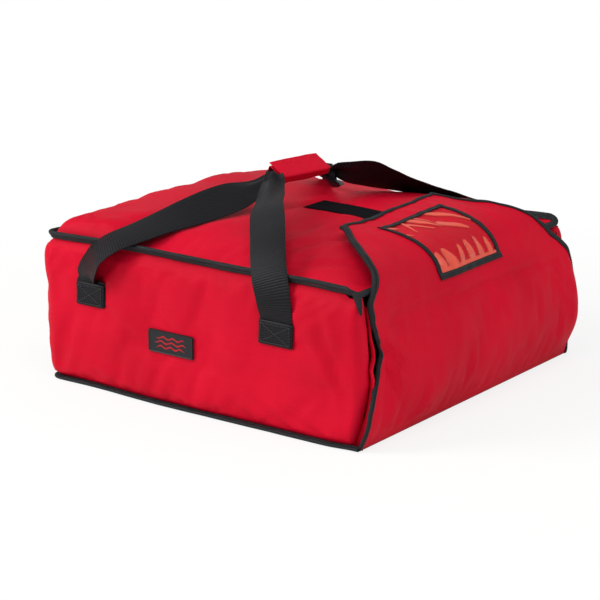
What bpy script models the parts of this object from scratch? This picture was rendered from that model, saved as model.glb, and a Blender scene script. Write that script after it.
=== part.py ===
# Insulated pizza delivery bag: a padded fabric box, open at one end, with a closure flap that
# rises from the bottom edge of the mouth, bends over the top edge and holds by hook and loop.
# Two webbing handles cross the top and are gathered in a padded, wrapped grip.
# Metres, +Z up. +X runs along the front wall to the mouth, the front wall faces -Y, and the
# underside rests on z = 0 with its centre at the origin.

import math

import bmesh
import bpy
import numpy as np

# Driving sizes of the bag, over the binding
BAG_WIDTH = 0.495
BAG_DEPTH = 0.500
BAG_HEIGHT = 0.203

# Sheet thicknesses and the gap kept between neighbouring pieces
CLEARANCE = 0.0003
FABRIC = 0.0010
FOAM = 0.0100
LINER = 0.0008
TAPE = 0.0010
WEBBING = 0.0016

# Bound seams: two allowances side by side inside a folded tape
SEAM_ALLOWANCE = 0.0080
TAPE_LAP_START = 0.0030
TOP_SEAM_TILT = math.radians(45.0)
END_SEAM_TILT = math.radians(70.0)
ALLOWANCE_HALF = CLEARANCE / 2 + FABRIC
CHANNEL_HALF = ALLOWANCE_HALF + CLEARANCE
TAPE_HALF = CHANNEL_HALF + TAPE
SEAM_REACH = SEAM_ALLOWANCE + CLEARANCE + TAPE

# Seam lines, where the top and bottom panels meet the side band
SEAM_INSET = SEAM_REACH * math.cos(TOP_SEAM_TILT) + TAPE_HALF * math.sin(TOP_SEAM_TILT)
SEAM_HALF_WIDTH = BAG_WIDTH / 2 - SEAM_INSET
SEAM_HALF_DEPTH = BAG_DEPTH / 2 - SEAM_INSET
MOUTH_SEAM_INSET = 0.0020
MOUTH_SEAM_X = SEAM_HALF_WIDTH - MOUTH_SEAM_INSET
TOP_SEAM_Z = BAG_HEIGHT - SEAM_INSET
BOTTOM_SEAM_LIFT = 0.00005
BOTTOM_SEAM_Z = TAPE_HALF + BOTTOM_SEAM_LIFT
END_CORNER_RADIUS = 0.0250
MOUTH_CORNER_RADIUS = 0.0060
MOUTH_BOW = 0.0120
MOUTH_SAG = 0.0060

# Fullness of the padded panels
EDGE_PUFF = 0.0140
TOP_CROWN = 0.0180
EDGE_POWER = 8
CROWN_POWER = 3
SAG_POWER = 4
WALL_BULGE = 0.0125
END_BULGE = 0.0165
BULGE_POWER = 8

# Side band, its batts and its hems at the mouth
BAND_END_INSET = 0.0015
FLANGE_FADE = 0.0030
FLANGE_SHORT = 0.0024
FLANGE_STUB = 0.0006
FOLD_LIMIT = 1.5
BAND_END_DROP = 0.0040
BATT_CORNER_GAP = 0.0040
HEM_LAP = 0.0080
HEM_END_GAP = 0.0012

# Closure flap, measured along its outer face from the bottom edge of the mouth
FLAP_FOAM = 0.0060
FLAP_FOAM_EDGE = 0.0020
FLAP_STAND_OFF = 0.0095
FLAP_BULGE = 0.0255
FLAP_LEAN = 0.0045
FLAP_BULGE_SKEW_SHARE = 0.51
FLAP_EDGE_PULL = 0.0120
FLAP_BEND_Z = 0.1950
FLAP_OVERLAP = 0.1275
FLAP_OVERLAP_RISE = 0.0445
BEND_HANDLE_SHARES = ((0.0, 0.0), (0.075, 0.60), (0.42, 0.80), (1.0, 1.0))
FLAP_HOLLOW = 0.0060
FLAP_HOLLOW_REACH = 0.0350
FLAP_START = 0.0012
FOLD_HEIGHT = 0.1650
FLAP_BOTTOM_HALF = 0.2360
FLAP_BEND_HALF = 0.2150
FLAP_FREE_HALF = 0.1065
FLAP_CORNER_CUT = 0.0080
FLAP_TAPE_LAP = 0.0080
FLAP_EDGE_ZONE = 0.0105
FLAP_EDGE_RAMP = 0.0350
FLAP_LIP_GAP = 0.0006
FLAP_ROW_PITCH = 0.0240
FLAP_ROW_TURN = math.radians(8.0)

# Document window on the flap, and its binding
WINDOW_HALF = 0.0725
WINDOW_START = 0.0120
WINDOW_LENGTH = 0.1040
WINDOW_SHEET = 0.0005
WINDOW_TAPE = 0.0090
WINDOW_BOTTOM_TAPE = 0.0160
WINDOW_TAPE_COVER = 0.0060

# Hook and loop of the flap
LOOP_HALF = 0.0230
LOOP_START_X = 0.0035
LOOP_LENGTH = 0.1800
STRIP_THICKNESS = 0.0015
HOOK_FROM_EDGE = 0.0140
HOOK_LENGTH = 0.0550

# Handles: webbing, end patches and the point midway between the two handles
WEBBING_WIDTH = 0.0495
HANDLE_CENTRE_X = -0.0424 * BAG_WIDTH
HANDLE_SPACING = 0.6160 * BAG_WIDTH
HANDLE_END_Z = 0.1160
HANDLE_LEAVE_Z = 0.1470
PATCH_WIDTH = 0.0500
PATCH_HEIGHT = 0.0310
PATCH_Z = 0.1297

# Grip: both handles run through a padded wrap with a closing flap
GRIP_CENTRE = (-0.0210, 0.0005, 0.2690)
GRIP_LENGTH = 0.0850
GRIP_TURN = math.radians(11.0)
GRIP_TILT = math.radians(26.0)
GRIP_WEBBING_WIDTH = 0.0270
GRIP_PADDING = 0.0020
GRIP_PAD_THICKNESS = 0.0010
GRIP_PAD_WIDTH = 0.0220
GRIP_ENTRY = 0.0040
GRIP_CREASE = 0.0010

# Label plate on the front wall
PLATE_LENGTH = 0.0745
PLATE_HEIGHT = 0.0310
PLATE_THICKNESS = 0.0022
PLATE_RIM = 0.0020
PLATE_RECESS = 0.0007
PLATE_CENTRE_X = -0.0390
PLATE_CENTRE_Z = 0.0855

# Shares: places along a panel, from its middle or its lower edge to its rim
TOP_RING_SHARES = (0.0, 0.35, 0.65, 0.85, 0.95, 0.98)
BOTTOM_RING_SHARES = (0.0, 0.97)
WALL_ROW_SHARES = (0.03, 0.1, 0.25, 0.5, 0.75, 0.9, 0.97)
FLAP_COLUMN_SHARES = (0.0, 0.4, 0.75)

# Route of each handle leg, as shares of the way from its wall to the grip, and the way that
# the webbing's width points there
LEFT_LEG_SHARES = ((0.014, -0.042, 0.22), (0.117, -0.036, 0.42), (0.26, 0.045, 0.57),
                   (0.415, 0.181, 0.655), (0.685, 0.492, 0.775), (0.90, 0.829, 0.905))
LEFT_WIDTH_SHARES = ((0.92, -0.24, -0.31), (0.80, -0.41, -0.44), (0.77, -0.49, -0.40),
                     (0.81, -0.48, -0.35), (0.86, -0.33, -0.39), (0.89, -0.27, -0.36))
RIGHT_LEG_SHARES = ((0.011, -0.026, 0.24), (0.081, 0.007, 0.475), (0.187, 0.101, 0.667),
                    (0.32, 0.23, 0.80), (0.629, 0.526, 0.94), (0.84, 0.745, 0.985))
RIGHT_WIDTH_SHARES = ((0.97, 0.13, 0.20), (0.91, 0.26, 0.33), (0.85, 0.36, 0.39),
                      (0.80, 0.42, 0.42), (0.76, 0.50, 0.40), (0.85, 0.45, 0.10))
BACK_RIGHT_LEG_SHARES = ((0.009, -0.037, 0.24), (0.077, -0.012, 0.45), (0.184, 0.09, 0.575),
                         (0.327, 0.227, 0.64), (0.64, 0.519, 0.775), (0.91, 0.83, 0.93))
BACK_RIGHT_WIDTH_SHARES = ((0.97, -0.14, 0.18), (0.91, -0.32, 0.28), (0.86, -0.48, 0.19),
                           (0.83, -0.56, 0.01), (0.76, -0.57, -0.32), (0.83, -0.40, -0.36))

# Counts of facets
SIDE_STEPS = 8
ARC_STEPS = 4
MOUTH_ARC_STEPS = 2
PROFILE_STEPS = 200
LEG_STEPS = 20


def remove_everything():
    """Empty the scene before modelling."""
    for old in list(bpy.data.objects):
        bpy.data.objects.remove(old, do_unlink=True)


def make_material(name, colour, roughness, metallic=0.0, alpha=1.0):
    """One Principled BSDF material; colour is linear RGB."""
    material = bpy.data.materials.new(name)
    material.use_nodes = True
    shader = material.node_tree.nodes["Principled BSDF"]
    shader.inputs["Base Color"].default_value = (*colour, 1.0)
    shader.inputs["Roughness"].default_value = roughness
    shader.inputs["Metallic"].default_value = metallic
    shader.inputs["Alpha"].default_value = alpha
    return material


def solid_from_faces(name, vertices, faces, material, pivot=None):
    """Closed mesh object with its origin at the pivot's place, or at the scene's origin."""
    place = np.array(pivot["place"] if pivot else (0.0, 0.0, 0.0))
    mesh = bpy.data.meshes.new(name)
    mesh.from_pydata([tuple(p) for p in (np.asarray(vertices) - place)], [], faces)
    work = bmesh.new()
    work.from_mesh(mesh)
    bmesh.ops.remove_doubles(work, verts=work.verts, dist=CLEARANCE / 100)
    bmesh.ops.recalc_face_normals(work, faces=work.faces)
    work.to_mesh(mesh)
    work.free()
    mesh.shade_smooth()
    mesh.set_sharp_from_angle(angle=math.radians(30.0))
    mesh.materials.append(material)
    piece = bpy.data.objects.new(name, mesh)
    bpy.context.scene.collection.objects.link(piece)
    if pivot:
        piece.parent = pivot["empty"]
    return piece


def shell_solid(name, outer, inner, material, closed=False, pivot=None):
    """Solid between two grids of points of one shape; closed joins the first index round."""
    outer = np.asarray(outer)
    inner = np.asarray(inner)
    rows, columns = outer.shape[:2]
    count = rows * columns
    faces = []
    last = rows if closed else rows - 1
    for i in range(last):
        k = (i + 1) % rows
        for j in range(columns - 1):
            a, b, c, d = i * columns + j, k * columns + j, k * columns + j + 1, i * columns + j + 1
            for corners in ((a, b, c), (a, c, d)):
                faces.append(corners)
                faces.append(tuple(count + corner for corner in corners[::-1]))
        for j in (0, columns - 1):
            a, b = i * columns + j, k * columns + j
            rim = (a, count + a, count + b, b)
            faces.append(rim if j == 0 else rim[::-1])
    if not closed:
        for i in (0, rows - 1):
            for j in range(columns - 1):
                a, b = i * columns + j, i * columns + j + 1
                rim = (b, count + b, count + a, a)
                faces.append(rim if i == 0 else rim[::-1])
    vertices = np.concatenate([outer.reshape(-1, 3), inner.reshape(-1, 3)])
    return solid_from_faces(name, vertices, faces, material, pivot)


def make_pivot(name, place, parent=None):
    """An empty on a joint's axis, with its world place kept beside it."""
    empty = bpy.data.objects.new(name, None)
    bpy.context.scene.collection.objects.link(empty)
    if parent:
        empty.parent = parent["empty"]
        empty.location = np.array(place) - np.array(parent["place"])
    else:
        empty.location = place
    return {"empty": empty, "place": place}


# The box: seam lines and panel shapes

def mouth_seam_x(y, bow):
    """The mouth's upper edge bows inwards between its corners, as a half cosine wave."""
    return MOUTH_SEAM_X - bow * np.cos(math.pi / 2 * np.clip(np.abs(y) / SEAM_HALF_DEPTH, 0, 1))


def top_height(x, y):
    """Height of the top panel's outer face: a puffed rim and a broad crown above its seam."""
    reach = np.where(x > 0, mouth_seam_x(y, MOUTH_BOW), SEAM_HALF_WIDTH)
    a = np.clip(np.abs(x) / reach, 0, 1)
    b = np.clip(np.abs(y) / SEAM_HALF_DEPTH, 0, 1)
    puff = EDGE_PUFF * (1 - a ** EDGE_POWER) * (1 - b ** EDGE_POWER)
    crown = TOP_CROWN * (1 - a ** CROWN_POWER) * (1 - b ** CROWN_POWER)
    return seam_height(x, y) + puff + crown


def seam_height(x, y):
    """Height of the top seam: level round the walls, with a sag along the mouth."""
    a = np.clip(x / mouth_seam_x(y, MOUTH_BOW), 0, 1)
    b = np.clip(np.abs(y) / SEAM_HALF_DEPTH, 0, 1)
    return TOP_SEAM_Z - MOUTH_SAG * a ** SAG_POWER * np.cos(math.pi / 2 * b)


def arc_points(centre_x, centre_y, radius, start, end, steps):
    """Points and normals of an arc in plan; angles in degrees, both ends included."""
    angle = np.radians(np.linspace(start, end, steps + 1))
    normal = np.stack([np.cos(angle), np.sin(angle)], -1)
    return np.array([centre_x, centre_y]) + radius * normal, normal


def wall_seam():
    """Seam line round the three walls, from the mouth's back corner to its front corner."""
    end_x = -SEAM_HALF_WIDTH + END_CORNER_RADIUS
    end_y = SEAM_HALF_DEPTH - END_CORNER_RADIUS
    side_x = np.linspace(MOUTH_SEAM_X - MOUTH_CORNER_RADIUS, end_x, SIDE_STEPS + 1)[:-1]
    back = np.stack([side_x, np.full_like(side_x, SEAM_HALF_DEPTH)], -1)
    end_side_y = np.linspace(end_y, -end_y, SIDE_STEPS + 1)[1:-1]
    end = np.stack([np.full_like(end_side_y, -SEAM_HALF_WIDTH), end_side_y], -1)
    arc_back, normal_back = arc_points(end_x, end_y, END_CORNER_RADIUS, 90, 180, ARC_STEPS)
    arc_front, normal_front = arc_points(end_x, -end_y, END_CORNER_RADIUS, 180, 270, ARC_STEPS)
    points = np.concatenate([back, arc_back, end, arc_front, back[::-1] * [1, -1]])
    normals = np.concatenate([np.tile([0.0, 1.0], (len(back), 1)), normal_back,
                              np.tile([-1.0, 0.0], (len(end), 1)), normal_front,
                              np.tile([0.0, -1.0], (len(back), 1))])
    return points, normals


def panel_seam(bow):
    """Whole seam line of a panel: the walls', then the mouth edge; also each point's mouth share."""
    points, normals = wall_seam()
    share = np.zeros(len(points))
    corner_x = MOUTH_SEAM_X - MOUTH_CORNER_RADIUS
    corner_y = SEAM_HALF_DEPTH - MOUTH_CORNER_RADIUS
    front, front_normal = arc_points(corner_x, -corner_y, MOUTH_CORNER_RADIUS, 270, 360, MOUTH_ARC_STEPS)
    back, back_normal = arc_points(corner_x, corner_y, MOUTH_CORNER_RADIUS, 0, 90, MOUTH_ARC_STEPS)
    y = np.linspace(-corner_y, corner_y, SIDE_STEPS + 1)[1:-1]
    mouth = np.stack([mouth_seam_x(y, bow), y], -1)
    mouth_normal = np.tile([1.0, 0.0], (len(mouth), 1))
    ramp = np.linspace(0, 1, MOUTH_ARC_STEPS + 1)
    points = np.concatenate([points, front[1:], mouth, back[:-1]])
    normals = np.concatenate([normals, front_normal[1:], mouth_normal, back_normal[:-1]])
    share = np.concatenate([share, ramp[1:], np.ones(len(mouth)), ramp[::-1][:-1]])
    return points, normals, share


def lift(points, height):
    """Plan points with a height."""
    return np.concatenate([points, np.broadcast_to(height, len(points))[:, None]], 1)


def seam_axes(normals, tilt):
    """Directions along and across a bound seam whose allowance rises by tilt from level."""
    tilt = np.broadcast_to(tilt, len(normals))
    along = np.concatenate([normals * np.cos(tilt)[:, None], np.sin(tilt)[:, None]], 1)
    across = np.concatenate([-normals * np.sin(tilt)[:, None], np.cos(tilt)[:, None]], 1)
    return along, across


def panel_rings(points, shares, height, thickness):
    """Rings of a panel from its centre outwards, above and below; height is a function."""
    upper = []
    lower = []
    for share in shares:
        ring = points * share
        z = height(ring[:, 0], ring[:, 1])
        upper.append(lift(ring, z))
        lower.append(lift(ring, z - thickness))
    return upper, lower


def build_top(materials):
    """Outer fabric with its seam allowance, foam batt and liner of the crowned top."""
    points, normals, share = panel_seam(MOUTH_BOW)
    tilt = TOP_SEAM_TILT * (1 - share)
    along, across = seam_axes(normals, tilt)
    seam = lift(points, seam_height(points[:, 0], points[:, 1]))
    upper, lower = panel_rings(points, TOP_RING_SHARES, top_height, FABRIC)
    for reach in (0.0, TAPE_LAP_START, SEAM_ALLOWANCE):
        upper.append(seam + across * ALLOWANCE_HALF + along * reach)
        lower.append(seam + across * (CLEARANCE / 2) + along * reach)
    shell_solid("top_outer_panel", np.stack(upper, 1), np.stack(lower, 1), materials["nylon"], True)

    def foam_top(x, y):
        return top_height(x, y) - FABRIC - CLEARANCE

    def liner_top(x, y):
        return foam_top(x, y) - FOAM - CLEARANCE

    for name, height, thickness, material in (
            ("top_insulation", foam_top, FOAM, "foam"),
            ("top_liner", liner_top, LINER, "liner")):
        upper, lower = panel_rings(points, TOP_RING_SHARES, height, thickness)
        shell_solid(name, np.stack(upper, 1), np.stack(lower, 1), materials[material], True)
    bind_seam("top_binding", seam, along, across, materials["tape"], True)


def build_bottom(materials):
    """Flat bottom: fabric on the floor that runs out to the flap's hinge line and rises into
    the seam on the other three sides, batt and liner."""
    points, normals, share = panel_seam(0.0)
    mouth_reach = BAG_WIDTH / 2 + FLAP_STAND_OFF - 2 * CLEARANCE - MOUTH_SEAM_X
    rim_low = (BOTTOM_SEAM_Z - ALLOWANCE_HALF) * (1 - share)
    upper = []
    lower = []
    for ring_share in BOTTOM_RING_SHARES:
        lower.append(lift(points * ring_share, 0.0))
        upper.append(lift(points * ring_share, FABRIC))
    reach = SEAM_ALLOWANCE * (1 - share) + mouth_reach * share
    for ring in (points, points + normals * reach[:, None]):
        lower.append(lift(ring, rim_low))
        upper.append(lift(ring, rim_low + FABRIC))
    shell_solid("bottom_outer_panel", np.stack(upper, 1), np.stack(lower, 1), materials["nylon"], True)
    base = FABRIC + CLEARANCE
    for name, thickness, material in (("bottom_insulation", FOAM, "foam"),
                                      ("bottom_liner", LINER, "liner")):
        upper = [lift(points * ring_share, base + thickness) for ring_share in BOTTOM_RING_SHARES]
        lower = [lift(points * ring_share, base) for ring_share in BOTTOM_RING_SHARES]
        shell_solid(name, np.stack(upper, 1), np.stack(lower, 1), materials[material], True)
        base += thickness + CLEARANCE
    wall_points, wall_normals = wall_seam()
    along, across = seam_axes(wall_normals, 0.0)
    seam = lift(wall_points, BOTTOM_SEAM_Z)
    bind_seam("bottom_binding", seam, along, across, materials["tape"], False)


def bind_seam(name, seam, along, across, material, closed):
    """Folded tape round a seam's two allowances, as a channel swept along the seam."""
    tip = SEAM_ALLOWANCE + CLEARANCE
    round_share = 0.55
    outer = ((TAPE_LAP_START, TAPE_HALF), (SEAM_ALLOWANCE, TAPE_HALF),
             (tip + TAPE, TAPE_HALF * round_share), (tip + TAPE, -TAPE_HALF * round_share),
             (SEAM_ALLOWANCE, -TAPE_HALF), (TAPE_LAP_START, -TAPE_HALF))
    inner = ((TAPE_LAP_START, CHANNEL_HALF), (SEAM_ALLOWANCE, CHANNEL_HALF),
             (tip, CHANNEL_HALF * round_share), (tip, -CHANNEL_HALF * round_share),
             (SEAM_ALLOWANCE, -CHANNEL_HALF), (TAPE_LAP_START, -CHANNEL_HALF))
    outside = np.stack([seam + along * reach + across * side for reach, side in outer], 1)
    inside = np.stack([seam + along * reach + across * side for reach, side in inner], 1)
    shell_solid(name, outside, inside, material, closed)


# The side band: front wall, closed end and back wall

def wall_bulge(z, normals):
    """How far a wall's face stands out from the seam line: full height, rounded at both seams."""
    shares = np.array((0.0, *WALL_ROW_SHARES, 1.0))
    curve = 1 - np.abs(2 * shares - 1) ** BULGE_POWER
    most = END_BULGE * normals[:, 0] ** 2 + WALL_BULGE * normals[:, 1] ** 2
    return most * np.interp((z - BOTTOM_SEAM_Z) / (TOP_SEAM_Z - BOTTOM_SEAM_Z), shares, curve)


def band_stations():
    """Stations of the band from one end at the mouth to the other, with the reach of its seam
    allowance and the drop of its top edge, which leaves the seam at the mouth's corners."""
    points, normals = wall_seam()
    start_x = points[0, 0]
    end_x = (BAG_WIDTH / 2 - BAND_END_INSET, start_x, start_x - FLANGE_FADE, start_x - 2 * FLANGE_FADE)
    end_reach = (FLANGE_STUB, FLANGE_STUB, FLANGE_SHORT, SEAM_ALLOWANCE)
    end_drop = (BAND_END_DROP, BAND_END_DROP, 0.0, 0.0)
    back = np.array([(x, SEAM_HALF_DEPTH) for x in end_x])
    facing = np.tile([0.0, 1.0], (len(end_x), 1))
    points = np.concatenate([back, points[1:-1], back[::-1] * [1, -1]])
    normals = np.concatenate([facing, normals[1:-1], -facing])
    reach = np.full(len(points), SEAM_ALLOWANCE)
    drop = np.zeros(len(points))
    reach[:len(end_x)] = end_reach
    reach[-len(end_x):] = end_reach[::-1]
    drop[:len(end_x)] = end_drop
    drop[-len(end_x):] = end_drop[::-1]
    return points, normals, reach[:, None], drop


def inset_section(outer, thickness, limit):
    """Inner side of a folded sheet's section: each point moves square to the edges beside it by
    the thickness, and by no more than the limit at a sharp fold."""
    edge = np.diff(outer, axis=1)
    edge = edge / np.linalg.norm(edge, axis=2)[..., None]
    side = np.stack([-edge[..., 1], edge[..., 0]], -1)
    way = np.concatenate([side[:, :1], side], 1) + np.concatenate([side, side[:, -1:]], 1)
    size = np.linalg.norm(way, axis=2)[..., None]
    return outer + way / size * np.minimum(2 * thickness / size, limit)


def build_band(materials):
    """Outer fabric of the three walls, turned out at both seams, and the liner inside it."""
    points, normals, reach, drop = band_stations()
    top_z = TOP_SEAM_Z - drop
    along, across = seam_axes(normals, np.where(drop > 0, END_SEAM_TILT, TOP_SEAM_TILT))
    low = np.full(len(points), BOTTOM_SEAM_Z + ALLOWANCE_HALF)
    section = [(reach[:, 0], low), (0 * low, low)]
    for share in WALL_ROW_SHARES:
        row_z = np.minimum(BOTTOM_SEAM_Z + share * (TOP_SEAM_Z - BOTTOM_SEAM_Z), top_z - FLANGE_STUB)
        section.append((wall_bulge(row_z, normals), row_z))
    for length in (0 * low, reach[:, 0]):
        rise = along[:, 2] * length - across[:, 2] * ALLOWANCE_HALF
        section.append((np.hypot(along[:, 0], along[:, 1]) * length
                        + np.hypot(across[:, 0], across[:, 1]) * ALLOWANCE_HALF, top_z + rise))
    section = np.stack([np.stack(row, -1) for row in section], 1)
    grids = []
    for out, height in (np.moveaxis(section, 2, 0),
                        np.moveaxis(inset_section(section, FABRIC, FOLD_LIMIT * FABRIC), 2, 0)):
        plan = points[:, None, :] + normals[:, None, :] * out[..., None]
        grids.append(np.concatenate([plan, height[..., None]], 2))
    shell_solid("side_band_outer", grids[0], grids[1], materials["nylon"])

    depth = FABRIC + FOAM + 2 * CLEARANCE
    outside, inside = wall_layer(points, normals, depth, LINER)
    shell_solid("side_band_liner", outside, inside, materials["liner"])


def batt_rows():
    """Heights of the rows of a wall's batt, between the bottom and the top linings."""
    low = FABRIC + FOAM + LINER + 3 * CLEARANCE
    high = TOP_SEAM_Z - low
    rows = [BOTTOM_SEAM_Z + share * (TOP_SEAM_Z - BOTTOM_SEAM_Z) for share in WALL_ROW_SHARES]
    return [low] + [row for row in rows if low < row < high] + [high]


def wall_layer(points, normals, depth, thickness):
    """Outer and inner grids of a layer that lies a depth inside the walls' face."""
    outside = []
    inside = []
    for z in batt_rows():
        bulge = wall_bulge(z, normals)[:, None]
        outside.append(lift(points + normals * (bulge - depth), z))
        inside.append(lift(points + normals * (bulge - depth - thickness), z))
    return np.stack(outside, 1), np.stack(inside, 1)


def build_batts(materials):
    """Foam of the front wall, the back wall and the closed end, between fabric and liner."""
    points, normals, _, _ = band_stations()
    straight = END_CORNER_RADIUS + BATT_CORNER_GAP
    side = np.linspace(BAG_WIDTH / 2 - BAND_END_INSET, -SEAM_HALF_WIDTH + straight, SIDE_STEPS + 1)
    for name, direction in (("back_insulation", 1.0), ("front_insulation", -1.0)):
        line = np.stack([side, np.full_like(side, direction * SEAM_HALF_DEPTH)], -1)
        facing = np.tile([0.0, direction], (len(side), 1))
        outside, inside = wall_layer(line, facing, FABRIC + CLEARANCE, FOAM)
        shell_solid(name, outside, inside, materials["foam"])
    chosen = points[:, 0] <= -SEAM_HALF_WIDTH + END_CORNER_RADIUS + CLEARANCE
    outside, inside = wall_layer(points[chosen], normals[chosen], FABRIC + CLEARANCE, FOAM)
    shell_solid("end_insulation", outside, inside, materials["foam"])


def build_hems(materials):
    """Fabric hem folded over each vertical edge of the mouth, round the whole thickness."""
    total = FABRIC + FOAM + LINER + 2 * CLEARANCE
    rows = batt_rows()
    heights = [rows[0] + HEM_END_GAP] + rows[1:-1] + [rows[-1] - HEM_END_GAP]
    end_x = BAG_WIDTH / 2 - BAND_END_INSET
    outer = ((-HEM_LAP, -CLEARANCE - TAPE), (CLEARANCE, -CLEARANCE - TAPE),
             (CLEARANCE + TAPE, 0.0), (CLEARANCE + TAPE, total),
             (CLEARANCE, total + CLEARANCE + TAPE), (-HEM_LAP, total + CLEARANCE + TAPE))
    inner = ((-HEM_LAP, -CLEARANCE), (0.0, -CLEARANCE), (CLEARANCE, 0.0), (CLEARANCE, total),
             (0.0, total + CLEARANCE), (-HEM_LAP, total + CLEARANCE))
    for name, direction in (("mouth_hem_front", -1.0), ("mouth_hem_back", 1.0)):
        facing = np.array([[0.0, direction]])
        grids = []
        for section in (outer, inner):
            rows = []
            for z in heights:
                face = SEAM_HALF_DEPTH + float(wall_bulge(z, facing)[0])
                rows.append([(end_x + reach, direction * (face - depth), z) for reach, depth in section])
            grids.append(rows)
        shell_solid(name, grids[0], grids[1], materials["nylon"])


# The closure flap: one outer curve, and layers inside it

def flap_profile():
    """Outer face of the flap at mid width: a skewed bulge over the mouth, then a bend and the
    overlap as one cubic curve; returned with the length along it."""
    half = PROFILE_STEPS // 2
    q = np.linspace(0, 1, half)
    skewed = q * (1 + FLAP_BULGE_SKEW_SHARE * (1 - q))
    x = BAG_WIDTH / 2 + FLAP_STAND_OFF - FLAP_LEAN * q + FLAP_BULGE * np.sin(math.pi * skewed)
    z = FLAP_BEND_Z * q
    t = np.linspace(0, 1, half)[1:]
    weights = ((1 - t) ** 3, 3 * t * (1 - t) ** 2, 3 * t ** 2 * (1 - t), t ** 3)
    over = sum(w * share[0] for w, share in zip(weights, BEND_HANDLE_SHARES))
    up = sum(w * share[1] for w, share in zip(weights, BEND_HANDLE_SHARES))
    x = np.concatenate([x, x[-1] - FLAP_OVERLAP * over])
    z = np.concatenate([z, z[-1] + FLAP_OVERLAP_RISE * up])
    length = np.concatenate([[0], np.cumsum(np.hypot(np.diff(x), np.diff(z)))])
    return x, z, length


PROFILE_X, PROFILE_Z, PROFILE_LENGTH = flap_profile()
BEND_LENGTH = float(np.interp(FLAP_BEND_Z, PROFILE_Z[:PROFILE_STEPS // 2],
                              PROFILE_LENGTH[:PROFILE_STEPS // 2]))
FLAP_LENGTH = float(PROFILE_LENGTH[-1])
FOLD_LENGTH = float(np.interp(FOLD_HEIGHT, PROFILE_Z[:PROFILE_STEPS // 2],
                              PROFILE_LENGTH[:PROFILE_STEPS // 2]))
FOLD_X = float(np.interp(FOLD_LENGTH, PROFILE_LENGTH, PROFILE_X))
MOUTH_HINGE = (BAG_WIDTH / 2 + FLAP_STAND_OFF, 0.0, 0.0)
FOLD_HINGE = (FOLD_X + CLEARANCE, 0.0, FOLD_HEIGHT)


def flap_half(length):
    """Half width of the flap at a length along it; its corner at the bend is cut off."""
    lengths = (0, BEND_LENGTH, FLAP_LENGTH)
    halves = (FLAP_BOTTOM_HALF, FLAP_BEND_HALF, FLAP_FREE_HALF)
    cut = (BEND_LENGTH - FLAP_CORNER_CUT, BEND_LENGTH + FLAP_CORNER_CUT)
    return np.interp(length, (0, *cut, FLAP_LENGTH),
                     (halves[0], *np.interp(cut, lengths, halves), halves[2]))


def flap_point(length, y, depth):
    """Point of the flap at a length along it, a place across it and a depth inside its face.
    The face is pulled in at its side edges over the mouth, and hollowed where the top edge sags."""
    length, y, depth = np.broadcast_arrays(np.asarray(length, float), y, depth)
    inside = np.clip(length, 0, FLAP_LENGTH)
    step = FLAP_LENGTH / PROFILE_STEPS
    ahead = np.clip(inside + step, 0, FLAP_LENGTH)
    behind = np.clip(inside - step, 0, FLAP_LENGTH)
    tx = np.interp(ahead, PROFILE_LENGTH, PROFILE_X) - np.interp(behind, PROFILE_LENGTH, PROFILE_X)
    tz = np.interp(ahead, PROFILE_LENGTH, PROFILE_Z) - np.interp(behind, PROFILE_LENGTH, PROFILE_Z)
    size = np.hypot(tx, tz)
    tx, tz = tx / size, tz / size
    past = length - inside
    x = np.interp(inside, PROFILE_LENGTH, PROFILE_X) + tx * past
    z = np.interp(inside, PROFILE_LENGTH, PROFILE_Z) + tz * past
    across = np.clip(np.abs(y) / flap_half(inside), 0, 1.1)
    pull = FLAP_EDGE_PULL * np.sin(math.pi * np.clip(inside / BEND_LENGTH, 0, 1)) ** 2 * across ** 3
    from_bend = (inside - BEND_LENGTH) / FLAP_HOLLOW_REACH
    hollow = FLAP_HOLLOW * np.cos(math.pi / 2 * np.clip(across, 0, 1)) * np.exp(-from_bend ** 2)
    inward = depth + pull + hollow
    return np.stack([x - tz * inward, np.broadcast_to(y, x.shape), z + tx * inward], -1)


def flap_foam_thickness(length, y):
    """Foam is thin inside the binding and swells to its full thickness away from the edges."""
    to_edge = np.minimum(flap_half(length) - np.abs(y), FLAP_LENGTH - length)
    ramp = np.clip((to_edge - FLAP_EDGE_ZONE) / FLAP_EDGE_RAMP, 0, 1)
    return FLAP_FOAM_EDGE + (FLAP_FOAM - FLAP_FOAM_EDGE) * ramp * ramp * (3 - 2 * ramp)


def flap_grid(rows):
    """Lengths and places across of the flap's grid, with columns kept beside both edges."""
    grid_l = []
    grid_y = []
    for length in rows:
        half = float(flap_half(length))
        side = [half * share for share in FLAP_COLUMN_SHARES]
        side = side + [half - FLAP_EDGE_ZONE, half]
        places = [-p for p in side[::-1]] + side[1:]
        grid_l.append([length] * len(places))
        grid_y.append(places)
    return np.array(grid_l), np.array(grid_y)


def build_flap_layers(prefix, rows, materials, pivot):
    """Outer fabric, foam batt and liner of one stretch of the flap."""
    length, y = flap_grid(rows)
    foam = flap_foam_thickness(length, y)
    start = FABRIC + CLEARANCE
    layers = (("outer", 0.0 * y, FABRIC + 0.0 * y, "nylon"),
              ("insulation", start + 0.0 * y, start + foam, "foam"),
              ("liner", start + foam + CLEARANCE, start + foam + CLEARANCE + LINER, "liner"))
    for suffix, near, far, material in layers:
        shell_solid(prefix + "_" + suffix, flap_point(length, y, near), flap_point(length, y, far),
                    materials[material], False, pivot)


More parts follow.
